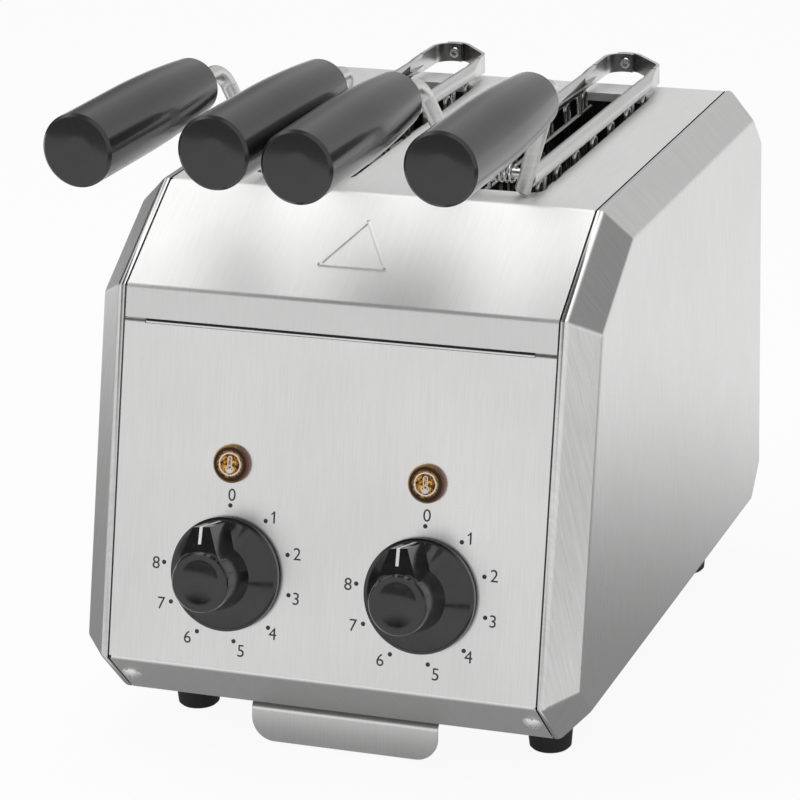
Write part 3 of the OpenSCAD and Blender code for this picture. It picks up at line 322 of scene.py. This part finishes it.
def clean(piece):
    """Merges points that bevels and cuts left in one place, drops faces without area and shuts pinholes."""
    pick_up(piece)
    bpy.ops.object.mode_set(mode="EDIT")
    bpy.ops.mesh.select_all(action="SELECT")
    bpy.ops.mesh.remove_doubles(threshold=clean_gap)
    bpy.ops.mesh.dissolve_degenerate(threshold=clean_gap)
    bpy.ops.mesh.fill_holes(sides=4)
    bpy.ops.object.mode_set(mode="OBJECT")


def pressed(node, finish, body="toaster", bend=0.5, steps=3, angle=25, fold=0, least=0, shape=None):
    """Stands in for a CAD solid with the same piece, its folds rounded by fold and its edges by bend.

    Edges shorter than least stay sharp, and shape is a step in edit mode that comes before the rounding.
    """
    piece = bpy.data.objects.new(f"{node}_pressed", solids[node].data.copy())
    bpy.context.scene.collection.objects.link(piece)
    pick_up(piece)
    bpy.ops.object.mode_set(mode="EDIT")
    bpy.ops.mesh.select_all(action="SELECT")
    bpy.ops.mesh.remove_doubles(threshold=weld_gap)
    bpy.ops.mesh.tris_convert_to_quads(face_threshold=math.radians(1), shape_threshold=math.radians(180))
    if shape:
        shape(piece)
    bpy.ops.object.mode_set(mode="OBJECT")
    if fold:
        mark_edges(piece, slight_turn, near_right_turn, least)
        round_edges(piece, fold, fold_rounds)
    if bend:
        mark_edges(piece, near_right_turn if fold else angle, any_turn, least)
        round_edges(piece, bend, steps)
    if fold:
        clean(piece)
    bpy.ops.object.shade_smooth_by_angle(angle=math.radians(smooth_turn))
    even = piece.modifiers.new("even", "WEIGHTED_NORMAL")
    even.weight = 100
    even.keep_sharp = True
    bpy.ops.object.modifier_apply(modifier="even")
    dress(piece, finish)
    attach(piece, body)
    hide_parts(node)
    return piece


satin_steel = steel("satin_steel", (0.75, 0.75, 0.745), (0.82, 0.82, 0.815), 0.3, 0.03,
                    per_metre=2000, stretch=35)
# Painted light: a lighter copy of the satin sheet makes the top cover and its triangle look brightly lit.
lit_hood_steel = steel("lit_hood_steel", (0.86, 0.86, 0.855), (0.92, 0.92, 0.915), 0.5, 0.03,
                   per_metre=2000, stretch=35)
pressed("top_cover", lit_hood_steel, bend=0.25, fold=1.3)
pressed("front_panel", satin_steel, bend=0.2, fold=1.4, least=8)
pressed("rear_panel", satin_steel, bend=0.2, fold=1.4, least=20)
pressed("crumb_tray", satin_steel, body="tray", bend=0.25)


# Pressed triangle: a low ridge struck up from inside the hood slope, in the same satin sheet.
# It is a plain frame with rounded corners, and its foot lies a little below the face of the sheet.
hood_fall = 32
hood_run = 51
hood_lean = math.atan2(hood_fall, hood_run)
hood_bend = Vector((0, -50.2348, 230.4)) * mm
triangle_drop = 32.6 * mm
triangle_reach = 18.2 * mm
triangle_corner = 1.6 * mm
ridge_width = 1.3 * mm
ridge_height = 0.6 * mm
ridge_foot = 0.2 * mm
ridge_round = 0.25


def settle(piece, place):
    """Moves a new piece to its place and leaves its object at the origin, with the place in its mesh."""
    pick_up(piece)
    piece.matrix_world = place
    bpy.ops.object.transform_apply(location=True, rotation=True, scale=True)


def disc(corners, radius, place=(0, 0, 0)):
    """A flat face with a number of corners, its place in its mesh."""
    bpy.ops.object.select_all(action="DESELECT")
    bpy.ops.mesh.primitive_circle_add(vertices=corners, radius=radius, fill_type="NGON", location=place)
    bpy.ops.object.transform_apply(location=True, rotation=True, scale=True)
    return bpy.context.object


def face_out():
    """Turns all faces of the piece in edit mode outwards, and leaves edit mode."""
    bpy.ops.mesh.select_all(action="SELECT")
    bpy.ops.mesh.normals_make_consistent(inside=False)
    bpy.ops.object.mode_set(mode="OBJECT")


triangle = disc(3, triangle_reach)
triangle.name = "pressed_triangle"
bpy.ops.object.mode_set(mode="EDIT")
bpy.ops.mesh.select_all(action="SELECT")
bpy.ops.mesh.bevel(offset=triangle_corner, segments=5, affect="VERTICES")
bpy.ops.mesh.select_all(action="SELECT")
bpy.ops.mesh.inset(thickness=ridge_width)
bpy.ops.mesh.delete(type="ONLY_FACE")
bpy.ops.mesh.select_all(action="SELECT")
bpy.ops.mesh.extrude_region_move(TRANSFORM_OT_translate={"value": (0, 0, ridge_height + ridge_foot)})
face_out()
round_edges(triangle, ridge_round, 3, angle=40)
clean(triangle)
bpy.ops.object.shade_smooth_by_angle(angle=math.radians(40))
down_hood = Vector((0, -math.cos(hood_lean), -math.sin(hood_lean)))
on_hood = Matrix.Translation(hood_bend + down_hood * triangle_drop) @ Matrix.Rotation(hood_lean, 4, "X")
settle(triangle, on_hood @ Matrix.Translation((0, 0, -ridge_foot)))
dress(triangle, lit_hood_steel)
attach(triangle, "toaster")


# Joint under the lip: a black strip that paints the shadow in the gap between the hood and the returned edge
# of the front panel.
# Both stop short of the tabs at the ends, and the black strip lies a little below the steel.
# Painted shadow: a black, matt strip stands where the gap under the lip is only in shade.
gap_shadow_black = mottled("gap_shadow_black", (0.010, 0.010, 0.010), (0.030, 0.030, 0.030), 0.9, 1800, 0.6)
lip_point = Vector((0, -104.409, 185.279)) * mm
panel_lean = math.atan2(0.235142, 0.971961)
quarter_turn = math.pi / 2
on_lip = Matrix.Translation(lip_point) @ Matrix.Rotation(quarter_turn - panel_lean, 4, "X")
lip_length = 170.6 * mm
lip_height = 0.87 * mm
lip_root = 0.95 * mm
lip_round = 0.12


def flat_bar(wide, high, place=(0, 0, 0), turn=(0, 0, 0)):
    """A flat rectangle, its size and place in its mesh."""
    bpy.ops.object.select_all(action="DESELECT")
    bpy.ops.mesh.primitive_plane_add(size=1, location=place, rotation=turn)
    bar = bpy.context.object
    bar.scale = (wide, high, 1)
    bpy.ops.object.transform_apply(location=True, rotation=True, scale=True)
    return bar


for name, thick, drop, finish, slot in (
        ("lip_gap_shadow", 0.7, 0.58, gap_shadow_black, "foot_rubber"),
        ("lip_return", 0.82, 1.45, satin_steel, "satin_steel")):
    strip = flat_bar(lip_length, lip_height)
    strip.name = name
    bpy.ops.object.mode_set(mode="EDIT")
    bpy.ops.mesh.select_all(action="SELECT")
    bpy.ops.mesh.subdivide(number_cuts=3)
    bpy.ops.mesh.extrude_region_move(TRANSFORM_OT_translate={"value": (0, 0, thick * mm)})
    face_out()
    round_edges(strip, lip_round, 2, angle=30)
    settle(strip, on_lip @ Matrix.Translation((0, -drop * mm, -lip_root)))
    dress(strip, finish)
    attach(strip, "toaster")


# Side caps: deep pressed stainless shells with a land at the seam, a wide bevel and a flat face.
# The corners of the bevel are welded and linished, so their ridges are soft.
cap_steel = steel("cap_steel", (0.66, 0.66, 0.655), (0.76, 0.76, 0.755), 0.29, 0.03,
                  turn=(0, 0, quarter_turn), per_metre=1600, stretch=30)
for side in ("left", "right"):
    pressed(f"{side}_side_panel", cap_steel, bend=0, fold=1.2, least=5)


# Feet: black rubber, narrower towards the floor, each moulded round a stud.
# The rubber is matt with a fine moulded skin.
foot_rubber = mottled("foot_rubber", (0.018, 0.018, 0.018), (0.030, 0.030, 0.030), 0.62, 900, 0.25)
pressed("feet", foot_rubber, bend=0.6)


# Front and rear screws: pan heads with a cross recess, in zinc-plated steel.
# They pin the front bevel and the rear panel to the chassis flanges.
recess_long = 4.6 * mm
recess_wide = 1.0 * mm
recess_deep = 1.2 * mm
head_flat = 0.02 * mm


def head_top(node, outward, test):
    """The middle of the highest points of one screw head, counted along outward."""
    points = [v.co for v in solids[node].data.vertices if test(v.co)]
    top = max(p.dot(outward) for p in points)
    high = [p for p in points if p.dot(outward) > top - head_flat]
    return sum(high, Vector()) / len(high)


def cross_recess(piece, tops, outward):
    """Cuts a cross into each screw head."""
    stand = outward.to_track_quat("Z", "Y").to_matrix().to_4x4()
    for top in tops:
        for wide, high in ((recess_long, recess_wide), (recess_wide, recess_long)):
            bpy.ops.object.select_all(action="DESELECT")
            bpy.ops.mesh.primitive_cube_add(size=1)
            bar = bpy.context.object
            bar.scale = (wide, high, 2 * recess_deep)
            bpy.ops.object.transform_apply(location=True, rotation=True, scale=True)
            settle(bar, Matrix.Translation(top) @ stand)
            pick_up(piece)
            cutter = piece.modifiers.new("recess", "BOOLEAN")
            cutter.operation = "DIFFERENCE"
            cutter.object = bar
            bpy.ops.object.modifier_apply(modifier="recess")
            bpy.data.objects.remove(bar)
    clean(piece)


below_front = Vector((0, -1, -1)).normalized()
heads = [head_top("front_screws", below_front, lambda p, s=s: p.x * s > 0) for s in (-1, 1)]
screw_zinc = steel("screw_zinc", (0.86, 0.86, 0.85), (0.93, 0.93, 0.92), 0.5, 0.03, per_metre=400, stretch=8)
screws = pressed("front_screws", screw_zinc, bend=0)
cross_recess(screws, heads, below_front)
behind = Vector((0, 1, 0))
middle = sum(corner[2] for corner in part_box("rear_screws")) / 2
heads = [head_top("rear_screws", behind, lambda p, s=s, t=t: p.x * s > 0 and (p.z - middle) * t > 0)
         for s in (-1, 1) for t in (-1, 1)]
screws = pressed("rear_screws", screw_zinc, bend=0)
cross_recess(screws, heads, behind)


# Knobs: glossy black mouldings on the timer shafts.
# A stepped skirt runs up a cone into a tapered grip, and a fin with a white line points at the scale.
gloss_black = mottled("gloss_black", (0.012, 0.012, 0.012), (0.018, 0.018, 0.018), 0.16, 300, 0.03, coat=0.3)
line_white = mottled("line_white", (0.92, 0.92, 0.91), (0.97, 0.97, 0.96), 0.4, 900, 0.05)
knob_gap = 0.8 * mm
fin_top = Vector((0, 14.4, 26.82)) * mm
fin_tip = Vector((0, 22.34, 23.66)) * mm
fin_foot = Vector((0, 22.34, 3.4)) * mm
line_width = 1.35 * mm
line_paint = 0.24 * mm
tip_reach = 0.1 * mm
rest_turn = Matrix.Rotation(math.radians(6.5), 4, "Z")
joints = {joint["child"]: joint for joint in frame["record"]["behaviour"]["joints"]}
panels = {}


def thicken(piece, depth, side):
    """Gives a flat piece a thickness: half to each side where side is 0, all of it above where it is 1."""
    coat = piece.modifiers.new("coat", "SOLIDIFY")
    coat.thickness = depth
    coat.offset = side
    bpy.ops.object.modifier_apply(modifier="coat")


for side in ("left", "right"):
    pressed(f"{side}_knob", gloss_black, body=f"{side}_control", bend=0.3, angle=35)
    turn = joints[f"{side}_control"]
    out = -Vector(turn["axis"]).normalized()
    up = out.cross(Vector((1, 0, 0))).normalized()
    face = Matrix((Vector((1, 0, 0)), up, out)).transposed().to_4x4()
    panels[side] = Matrix.Translation(turn["pos_m"]) @ face
    run = fin_tip - fin_top
    line = flat_bar(line_width, run.length, (fin_top + fin_tip) / 2, (math.atan2(run.z, run.y), 0, 0))
    line.name = f"{side}_pointer_line"
    bpy.ops.object.mode_set(mode="EDIT")
    bpy.ops.mesh.select_mode(type="EDGE")
    bpy.ops.mesh.select_all(action="DESELECT")
    bpy.ops.object.mode_set(mode="OBJECT")
    for edge in line.data.edges:
        edge.select = all(line.data.vertices[i].co.y > fin_tip.y - tip_reach for i in edge.vertices)
    bpy.ops.object.mode_set(mode="EDIT")
    bpy.ops.mesh.extrude_region_move(TRANSFORM_OT_translate={"value": fin_foot - fin_tip})
    bpy.ops.object.mode_set(mode="OBJECT")
    thicken(line, line_paint, 0)
    bpy.ops.object.mode_set(mode="EDIT")
    face_out()
    settle(line, panels[side] @ Matrix.Translation((0, 0, knob_gap)) @ rest_turn)
    dress(line, line_white)
    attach(line, f"{side}_control")


# Scales: nine dots and plain numerals round each knob, screen printed in dark grey on the panel.
# The ink lies a few hundredths of a millimetre proud of the steel, and the 1 has a long flag.
scale_ink = mottled("scale_ink", (0.030, 0.030, 0.032), (0.045, 0.045, 0.047), 0.55, 1500, 0.1)
ink = 0.05 * mm
dot_ring = 28.6 * mm
dot_step = math.radians(34.2)
dot_radius = 0.95 * mm
dot_corners = 24
numeral_size = 7.4 * mm
numeral_shift = ((0.5, 4.2), (3.7, 1.6), (4.2, 0.4), (3.4, -1.5), (2.2, -2.6), (3.5, -4.0), (-4.2, -3.1),
                 (-4.4, -1.3), (-3.6, -0.8))
flag_length = 1.7 * mm
flag_width = 0.55 * mm
flag_shift = Vector((3.05, 3.45, 0)) * mm
flag_lean = Matrix.Rotation(math.radians(38), 4, "Z")


def joined(pieces, name):
    """Makes one named piece of several."""
    bpy.ops.object.select_all(action="DESELECT")
    for piece in pieces:
        piece.select_set(True)
    bpy.context.view_layer.objects.active = pieces[0]
    bpy.ops.object.join()
    whole = bpy.context.object
    whole.name = name
    return whole


for side in ("left", "right"):
    marks = []
    for number in range(9):
        way = Vector((math.sin(number * dot_step), math.cos(number * dot_step), 0))
        dot = disc(dot_corners, dot_radius)
        bpy.ops.object.mode_set(mode="EDIT")
        bpy.ops.mesh.select_all(action="SELECT")
        bpy.ops.mesh.extrude_region_move(TRANSFORM_OT_translate={"value": (0, 0, ink)})
        bpy.ops.mesh.inset(thickness=ink)
        face_out()
        settle(dot, panels[side] @ Matrix.Translation(way * dot_ring))
        bpy.ops.object.select_all(action="DESELECT")
        bpy.ops.object.text_add()
        numeral = bpy.context.object
        numeral.data.body = str(number)
        numeral.data.size = numeral_size
        numeral.data.align_x = "CENTER"
        numeral.data.align_y = "CENTER"
        numeral.data.extrude = ink / 2
        numeral.data.resolution_u = 6
        bpy.ops.object.convert(target="MESH")
        if number == 1:
            flag = flat_bar(flag_length, flag_width)
            bpy.ops.object.mode_set(mode="EDIT")
            bpy.ops.mesh.select_all(action="SELECT")
            bpy.ops.mesh.extrude_region_move(TRANSFORM_OT_translate={"value": (0, 0, ink)})
            bpy.ops.object.mode_set(mode="OBJECT")
            settle(flag, panels[side] @ Matrix.Translation(way * dot_ring + flag_shift) @ flag_lean)
            marks.append(flag)
        beside = Vector((*numeral_shift[number], 0)) * mm + Vector((0, 0, ink / 2))
        settle(numeral, panels[side] @ Matrix.Translation(way * dot_ring + beside))
        marks += [dot, numeral]
    scale = joined(marks, f"{side}_scale")
    dress(scale, scale_ink)
    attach(scale, "toaster")


# Lamps: moulded amber lenses on the panel, each with a pale mark printed on its face.
# The lens is dark brown at its rim; the glints of gold facets behind its face and a gold highlight on the
# left of its edge are painted into its colour.
lens_drop = 46.2 * mm
lens_height = 3 * mm
facets_per_metre = 1100
facet_glint_tones = (
    (0.15, (0.030, 0.010, 0.003, 1)),
    (0.55, (0.55, 0.19, 0.012, 1)),
    (0.95, (0.95, 0.58, 0.06, 1)))
facets_fade = (4.7 * mm, 6.2 * mm)
rim_fade = (6.9 * mm, 7.6 * mm)
edge_glint_span = (-6 * mm, 6 * mm)
rim_brown = (0.030, 0.013, 0.011, 1)
edge_glint_gold = (0.50, 0.28, 0.02, 1)
edge_brown = (0.22, 0.10, 0.06, 1)
ring_corners = 40


def mixed(tree, share, first, second, data="RGBA"):
    """Goes from the first colour or number to the second as share goes from 0 to 1."""
    mix = tree.nodes.new("ShaderNodeMix")
    mix.data_type = data
    for label, value in (("Factor", share), ("A", first), ("B", second)):
        feed(tree, mix.inputs[label], value)
    return mix.outputs["Result"]


def amber_lens(name, place):
    """Amber plastic: gold and brown facets with painted glints in the middle, a dark rim, and a painted
    highlight on the left of its edge.
    """
    finish, tree, shader, spot = new_finish(name)
    shader.inputs["Roughness"].default_value = 0.2
    shader.inputs["Specular IOR Level"].default_value = 0.2
    back = place.inverted()
    centred = tree.nodes.new("ShaderNodeMapping")
    centred.inputs["Rotation"].default_value = back.to_euler()
    centred.inputs["Location"].default_value = back.translation
    tree.links.new(spot, centred.inputs["Vector"])
    flat = worked_vector(tree, "MULTIPLY", centred.outputs[0], (1, 1, 0))
    cells = tree.nodes.new("ShaderNodeTexVoronoi")
    cells.inputs["Scale"].default_value = facets_per_metre
    cells.inputs["Randomness"].default_value = 0.9
    tree.links.new(flat, cells.inputs["Vector"])
    spark = tree.nodes.new("ShaderNodeSeparateColor")
    tree.links.new(cells.outputs["Color"], spark.inputs[0])
    facet = tree.nodes.new("ShaderNodeValToRGB")
    facet.color_ramp.elements.new(0.5)
    for element, (stop, colour) in zip(facet.color_ramp.elements, facet_glint_tones):
        element.position = stop
        element.color = colour
    tree.links.new(spark.outputs[0], facet.inputs["Fac"])
    across = tree.nodes.new("ShaderNodeSeparateXYZ")
    tree.links.new(flat, across.inputs[0])
    # Painted highlight: the edge runs from gold on the left to brown on the right.
    glint_fade = ramped(tree, across.outputs["X"], *edge_glint_span, curve="LINEAR")
    edge_glint_tone = mixed(tree, glint_fade, edge_glint_gold, edge_brown)
    reach = worked_vector(tree, "LENGTH", flat)
    face_tone = mixed(tree, ramped(tree, reach, *facets_fade), facet.outputs["Color"], rim_brown)
    whole_tone = mixed(tree, ramped(tree, reach, *rim_fade), face_tone, edge_glint_tone)
    tree.links.new(whole_tone, shader.inputs["Base Color"])
    raised(tree, shader, spark.outputs[0], 0.15)
    return finish


def flat_ring(radius, line, height, stretch):
    """A flat ring drawn as a line at a height; its upper half moves up by stretch to make a long loop."""
    ring = disc(ring_corners, radius * mm, (0, height * mm, 0))
    if stretch:
        bpy.ops.object.mode_set(mode="EDIT")
        bpy.ops.mesh.select_mode(type="VERT")
        bpy.ops.mesh.select_all(action="DESELECT")
        bpy.ops.object.mode_set(mode="OBJECT")
        for point in ring.data.vertices:
            point.select = point.co.y > (height + 0.001) * mm
        bpy.ops.object.mode_set(mode="EDIT")
        bpy.ops.transform.translate(value=(0, stretch * mm, 0))
        bpy.ops.object.mode_set(mode="OBJECT")
    bpy.ops.object.mode_set(mode="EDIT")
    bpy.ops.mesh.select_mode(type="FACE")
    bpy.ops.mesh.select_all(action="SELECT")
    bpy.ops.mesh.inset(thickness=line * mm)
    bpy.ops.mesh.delete(type="ONLY_FACE")
    bpy.ops.object.mode_set(mode="OBJECT")
    return ring


# The mark in millimetres: a ring round it, a stem with ticks, and a bulb that is filled up to a line.
# Each loop is a radius, a line width, a height and a stretch.
bulb_height = -2.15
mark_loops = ((4.95, 0.62, 0, 0), (1.05, 0.42, -1.2, 3.6), (1.75, 0.45, bulb_height, 0))
fill_radius = 1.4
fill_line = -2.2
tick_heights = (0.1, 0.9, 1.7)
tick_length = 0.7 * mm
tick_width = 0.28 * mm
tick_shift = 0.3 * mm
print_depth = 0.06 * mm
print_gap = 0.01 * mm
pale_print = mottled("pale_print", (0.93, 0.86, 0.80), (0.97, 0.91, 0.86), 0.4, 900, 0.05)
for side in ("left", "right"):
    on_lens = panels[side] @ Matrix.Translation((0, lens_drop, 0))
    pressed(f"{side}_lamp_lens", amber_lens(f"{side}_amber", on_lens), bend=0.3)
    strokes = [flat_ring(*loop) for loop in mark_loops]
    filled = disc(ring_corners, fill_radius * mm, (0, bulb_height * mm, 0))
    bpy.ops.object.mode_set(mode="EDIT")
    bpy.ops.mesh.select_all(action="SELECT")
    bpy.ops.mesh.bisect(plane_co=(0, fill_line * mm, 0), plane_no=(0, 1, 0), clear_outer=True)
    bpy.ops.object.mode_set(mode="OBJECT")
    strokes.append(filled)
    for height in tick_heights:
        strokes.append(flat_bar(tick_length, tick_width, (tick_shift, height * mm, 0)))
    mark = joined(strokes, f"{side}_lamp_mark")
    thicken(mark, print_depth, 1)
    settle(mark, on_lens @ Matrix.Translation((0, 0, lens_height + print_gap)))
    dress(mark, pale_print)
    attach(mark, "toaster")


# Tongs: arms of seamed steel tube, pressed flat into a bow at the rear and lapped on a tubular rivet.
# Each arm carries a bent tube bracket with a turned black handle, and a grid of bent wire below.
# The inside of the bow is painted dark as shade on its forward-facing faces, and the front end of each
# handle is dished.
tube_steel = steel("tube_steel", (0.64, 0.64, 0.635), (0.76, 0.76, 0.755), 0.32, 0.03,
                   turn=(0, quarter_turn, 0), per_metre=900, stretch=50, depth=0.03)
bright_wire = steel("bright_wire", (0.58, 0.58, 0.575), (0.74, 0.74, 0.735), 0.16, 0.04,
                    per_metre=400, stretch=8, depth=0.02)
grid_wire = steel("grid_wire", (0.36, 0.36, 0.355), (0.52, 0.52, 0.515), 0.25, 0.04,
                  per_metre=400, stretch=8, depth=0.02)
handle_black = mottled("handle_black", (0.018, 0.018, 0.019), (0.022, 0.022, 0.023), 0.2, 2500, 0.02,
                       coat=0.25)
bow_shade_tone = (0.16, 0.155, 0.15, 1)
bow_shade_facing = (0.25, 0.6)
bow_start = 120 * mm
bow_full = 130 * mm
dish_depth = 1.2 * mm
dish_ring = 2.4 * mm
dish_shares = (0.36, 0.28, 0.2, 0.12)
front_cosine = 0.9

# Painted shade: on faces that turn forward and lie towards the rear, in the bow, the tube steel darkens to a
# grey.
tree = tube_steel.node_tree
colour = tree.nodes["Principled BSDF"].inputs["Base Color"]
bright = colour.links[0].from_socket
surface = tree.nodes.new("ShaderNodeNewGeometry")
forward = worked_vector(tree, "DOT_PRODUCT", surface.outputs["Normal"], (0, -1, 0))
spot = tree.nodes.new("ShaderNodeTexCoord")
apart = tree.nodes.new("ShaderNodeSeparateXYZ")
tree.links.new(spot.outputs["Object"], apart.inputs[0])
rearward = ramped(tree, apart.outputs["Y"], bow_start, bow_full, curve="LINEAR")
painted_bow_shade = worked(tree, "MULTIPLY", ramped(tree, forward, *bow_shade_facing), rearward)
tree.links.new(mixed(tree, painted_bow_shade, bright, bow_shade_tone), colour)


def dish_front(piece):
    """Sinks the flat front end of a handle into a shallow dish, ring by ring."""
    bpy.ops.mesh.select_mode(type="FACE")
    bpy.ops.mesh.select_all(action="DESELECT")
    bpy.ops.object.mode_set(mode="OBJECT")
    front = [face for face in piece.data.polygons if face.normal.dot((0, -1, 0)) > front_cosine]
    for face in front:
        face.select = True
    out = sum((face.normal * face.area for face in front), Vector()).normalized()
    bpy.ops.object.mode_set(mode="EDIT")
    bpy.ops.mesh.dissolve_faces()
    for share in dish_shares:
        bpy.ops.mesh.inset(thickness=dish_ring)
        bpy.ops.transform.translate(value=-out * share * dish_depth)


for tong in ("left", "right"):
    for half, body in (("left", f"{tong}_tong"), ("right", f"{tong}_tong_jaw")):
        name = f"{tong}_tong_{half}"
        pressed(f"{name}_arm", tube_steel, body=body, bend=0.12, steps=2, angle=40)
        pressed(f"{name}_bracket", tube_steel, body=body, bend=0.15, steps=2, angle=40)
        pressed(f"{name}_grid", grid_wire, body=body, bend=0)
        pressed(f"{name}_handle", handle_black, body=body, bend=0.3, angle=20,
                shape=dish_front)
    pressed(f"{tong}_tong_rivet", bright_wire, body=f"{tong}_tong", bend=0.25)


# Springs: one round wire wound between the brackets of each tong, cut off square at both ends.
# It keeps the handles apart; the real spring closes up as the jaws are squeezed, but here it moves with the
# tong as one piece.
coil_turns = 9
coil_radius = 3.6 * mm
coil_wire = 1 * mm
wire_sides = 12
steps_per_turn = 28
tong_turn = {"left": math.radians(-2.2), "right": math.radians(-0.8)}
for tong in ("left", "right"):
    low, high = (Vector(corner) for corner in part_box(f"{tong}_tong_spring"))
    length = (high.x - low.x) / math.cos(tong_turn[tong]) - coil_wire
    bpy.ops.object.select_all(action="DESELECT")
    bpy.ops.mesh.primitive_circle_add(vertices=wire_sides, radius=coil_wire / 2,
                                      location=(0, 0, coil_radius), rotation=(quarter_turn, 0, 0))
    coil = bpy.context.object
    coil.name = f"{tong}_spring_coil"
    bpy.ops.object.transform_apply(location=True, rotation=True, scale=True)
    winder = coil.modifiers.new("winder", "SCREW")
    winder.axis = "X"
    winder.angle = 2 * math.pi
    winder.iterations = coil_turns
    winder.screw_offset = length / coil_turns
    winder.steps = steps_per_turn
    winder.render_steps = steps_per_turn
    winder.use_normal_calculate = True
    bpy.ops.object.modifier_apply(modifier="winder")
    bpy.ops.object.mode_set(mode="EDIT")
    bpy.ops.mesh.select_mode(type="VERT")
    bpy.ops.mesh.select_all(action="SELECT")
    bpy.ops.mesh.remove_doubles(threshold=weld_gap)
    bpy.ops.mesh.select_all(action="DESELECT")
    bpy.ops.mesh.select_non_manifold()
    bpy.ops.mesh.edge_face_add()
    face_out()
    bpy.ops.object.shade_smooth_by_angle(angle=math.radians(40))
    middle_x = sum(v.co.x for v in coil.data.vertices) / len(coil.data.vertices)
    along = Matrix.Rotation(tong_turn[tong], 4, "Z")
    settle(coil, Matrix.Translation((low + high) / 2) @ along @ Matrix.Translation((-middle_x, 0, 0)))
    dress(coil, bright_wire)
    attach(coil, f"{tong}_tong")
    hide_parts(f"{tong}_tong_spring")
    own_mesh(coil)


# Stage: a plain white floor under soft studio light, seen as white by the camera.
# Polished steel sees a white studio with a bright card overhead and darker ones high in front, behind,
# on the left and high on the right, and a floor with a painted shadow under the body and a darker band
# before it.
floor_grey = (0.85, 0.85, 0.85, 1)
white_share = 0.93


def dim_strip(tree, depth, level, front, rear):
    """Dims the floor in reflections between two edges, each where the dim ends and where light is full."""
    ahead = ramped(tree, depth, *front, level, 1)
    behind = ramped(tree, depth, *rear, level, 1)
    return worked(tree, "MAXIMUM", ahead, behind)


bpy.ops.object.select_all(action="DESELECT")
bpy.ops.mesh.primitive_plane_add(size=12, location=(0, 0, 0))
floor = bpy.context.object
floor.name = "floor"
paper, tree, matt, spot = new_finish("paper")
matt.inputs["Base Color"].default_value = floor_grey
matt.inputs["Roughness"].default_value = 0.9
matt.inputs["Specular IOR Level"].default_value = 0
apart = tree.nodes.new("ShaderNodeSeparateXYZ")
tree.links.new(spot, apart.inputs[0])
# Painted shadow: in reflections the floor is dimmed under and beside the body, and in a band before it.
shadow_under_body = dim_strip(tree, apart.outputs["Y"], 0.3, front=(-0.125, -0.2), rear=(0, 0.45))
before_body = dim_strip(tree, apart.outputs["Y"], 0.2, front=(-0.76, -0.92), rear=(-0.48, -0.32))
dimmed = worked(tree, "MULTIPLY", shadow_under_body, before_body)
path = tree.nodes.new("ShaderNodeLightPath").outputs
glow = tree.nodes.new("ShaderNodeEmission")
tree.links.new(mixed(tree, path["Is Glossy Ray"], 1, dimmed, data="FLOAT"), glow.inputs["Strength"])
seen = worked(tree, "MAXIMUM", path["Is Camera Ray"], path["Is Transmission Ray"])
seen_too = worked(tree, "MAXIMUM", seen, path["Is Glossy Ray"])
blend = tree.nodes.new("ShaderNodeMixShader")
tree.links.new(worked(tree, "MULTIPLY", seen_too, white_share), blend.inputs["Fac"])
tree.links.new(matt.outputs[0], blend.inputs[1])
tree.links.new(glow.outputs[0], blend.inputs[2])
tree.links.new(blend.outputs[0], tree.nodes["Material Output"].inputs["Surface"])
dress(floor, paper)

# Each card has the direction it hangs in, the cosines at which it starts and is full, and its level.
surround_level = 0.95
matt_level = 0.45
cards = (
    ((-0.33, 0.09, 0.94), 0.7, 0.95, 1.75),
    ((-0.33, -0.62, 0.71), 0.82, 0.94, 0.05),
    ((0.0, 0.94, 0.34), 0.75, 0.97, 0.66),
    ((-0.82, 0.53, 0.23), 0.72, 0.93, 0.06),
    ((0.75, 0.31, 0.58), 0.82, 0.97, 0.3))
world = bpy.data.worlds.new("studio")
bpy.context.scene.world = world
world.use_nodes = True
tree = world.node_tree
light = tree.nodes["Background"]
light.inputs["Color"].default_value = (1, 1, 1, 1)
path = tree.nodes.new("ShaderNodeLightPath").outputs
look = tree.nodes.new("ShaderNodeTexCoord")
level = surround_level
for toward, start, full, tone in cards:
    facing = worked_vector(tree, "DOT_PRODUCT", look.outputs["Generated"], toward)
    level = mixed(tree, ramped(tree, facing, start, full), level, tone, data="FLOAT")
gloss = mixed(tree, path["Is Glossy Ray"], matt_level, level, data="FLOAT")
seen = worked(tree, "MAXIMUM", path["Is Camera Ray"], path["Is Transmission Ray"])
tree.links.new(mixed(tree, seen, gloss, 1, data="FLOAT"), light.inputs["Strength"])


def softbox(name, place, aim, size, watts):
    """A rectangular area lamp that faces its aim and doesn't show in reflections."""
    lamp = bpy.data.lights.new(name, "AREA")
    lamp.shape = "RECTANGLE"
    lamp.size, lamp.size_y = size
    lamp.energy = watts
    holder = bpy.data.objects.new(name, lamp)
    bpy.context.scene.collection.objects.link(holder)
    holder.visible_glossy = False
    holder.location = place
    holder.rotation_euler = (Vector(aim) - Vector(place)).to_track_quat("-Z", "Y").to_euler()


softbox("overhead", (-0.3, 0.0, 1.6), (0, 0, 0.2), (1.2, 1.0), 9)
softbox("left_key", (-1.3, -0.9, 0.9), (0, 0, 0.15), (0.8, 0.8), 5)
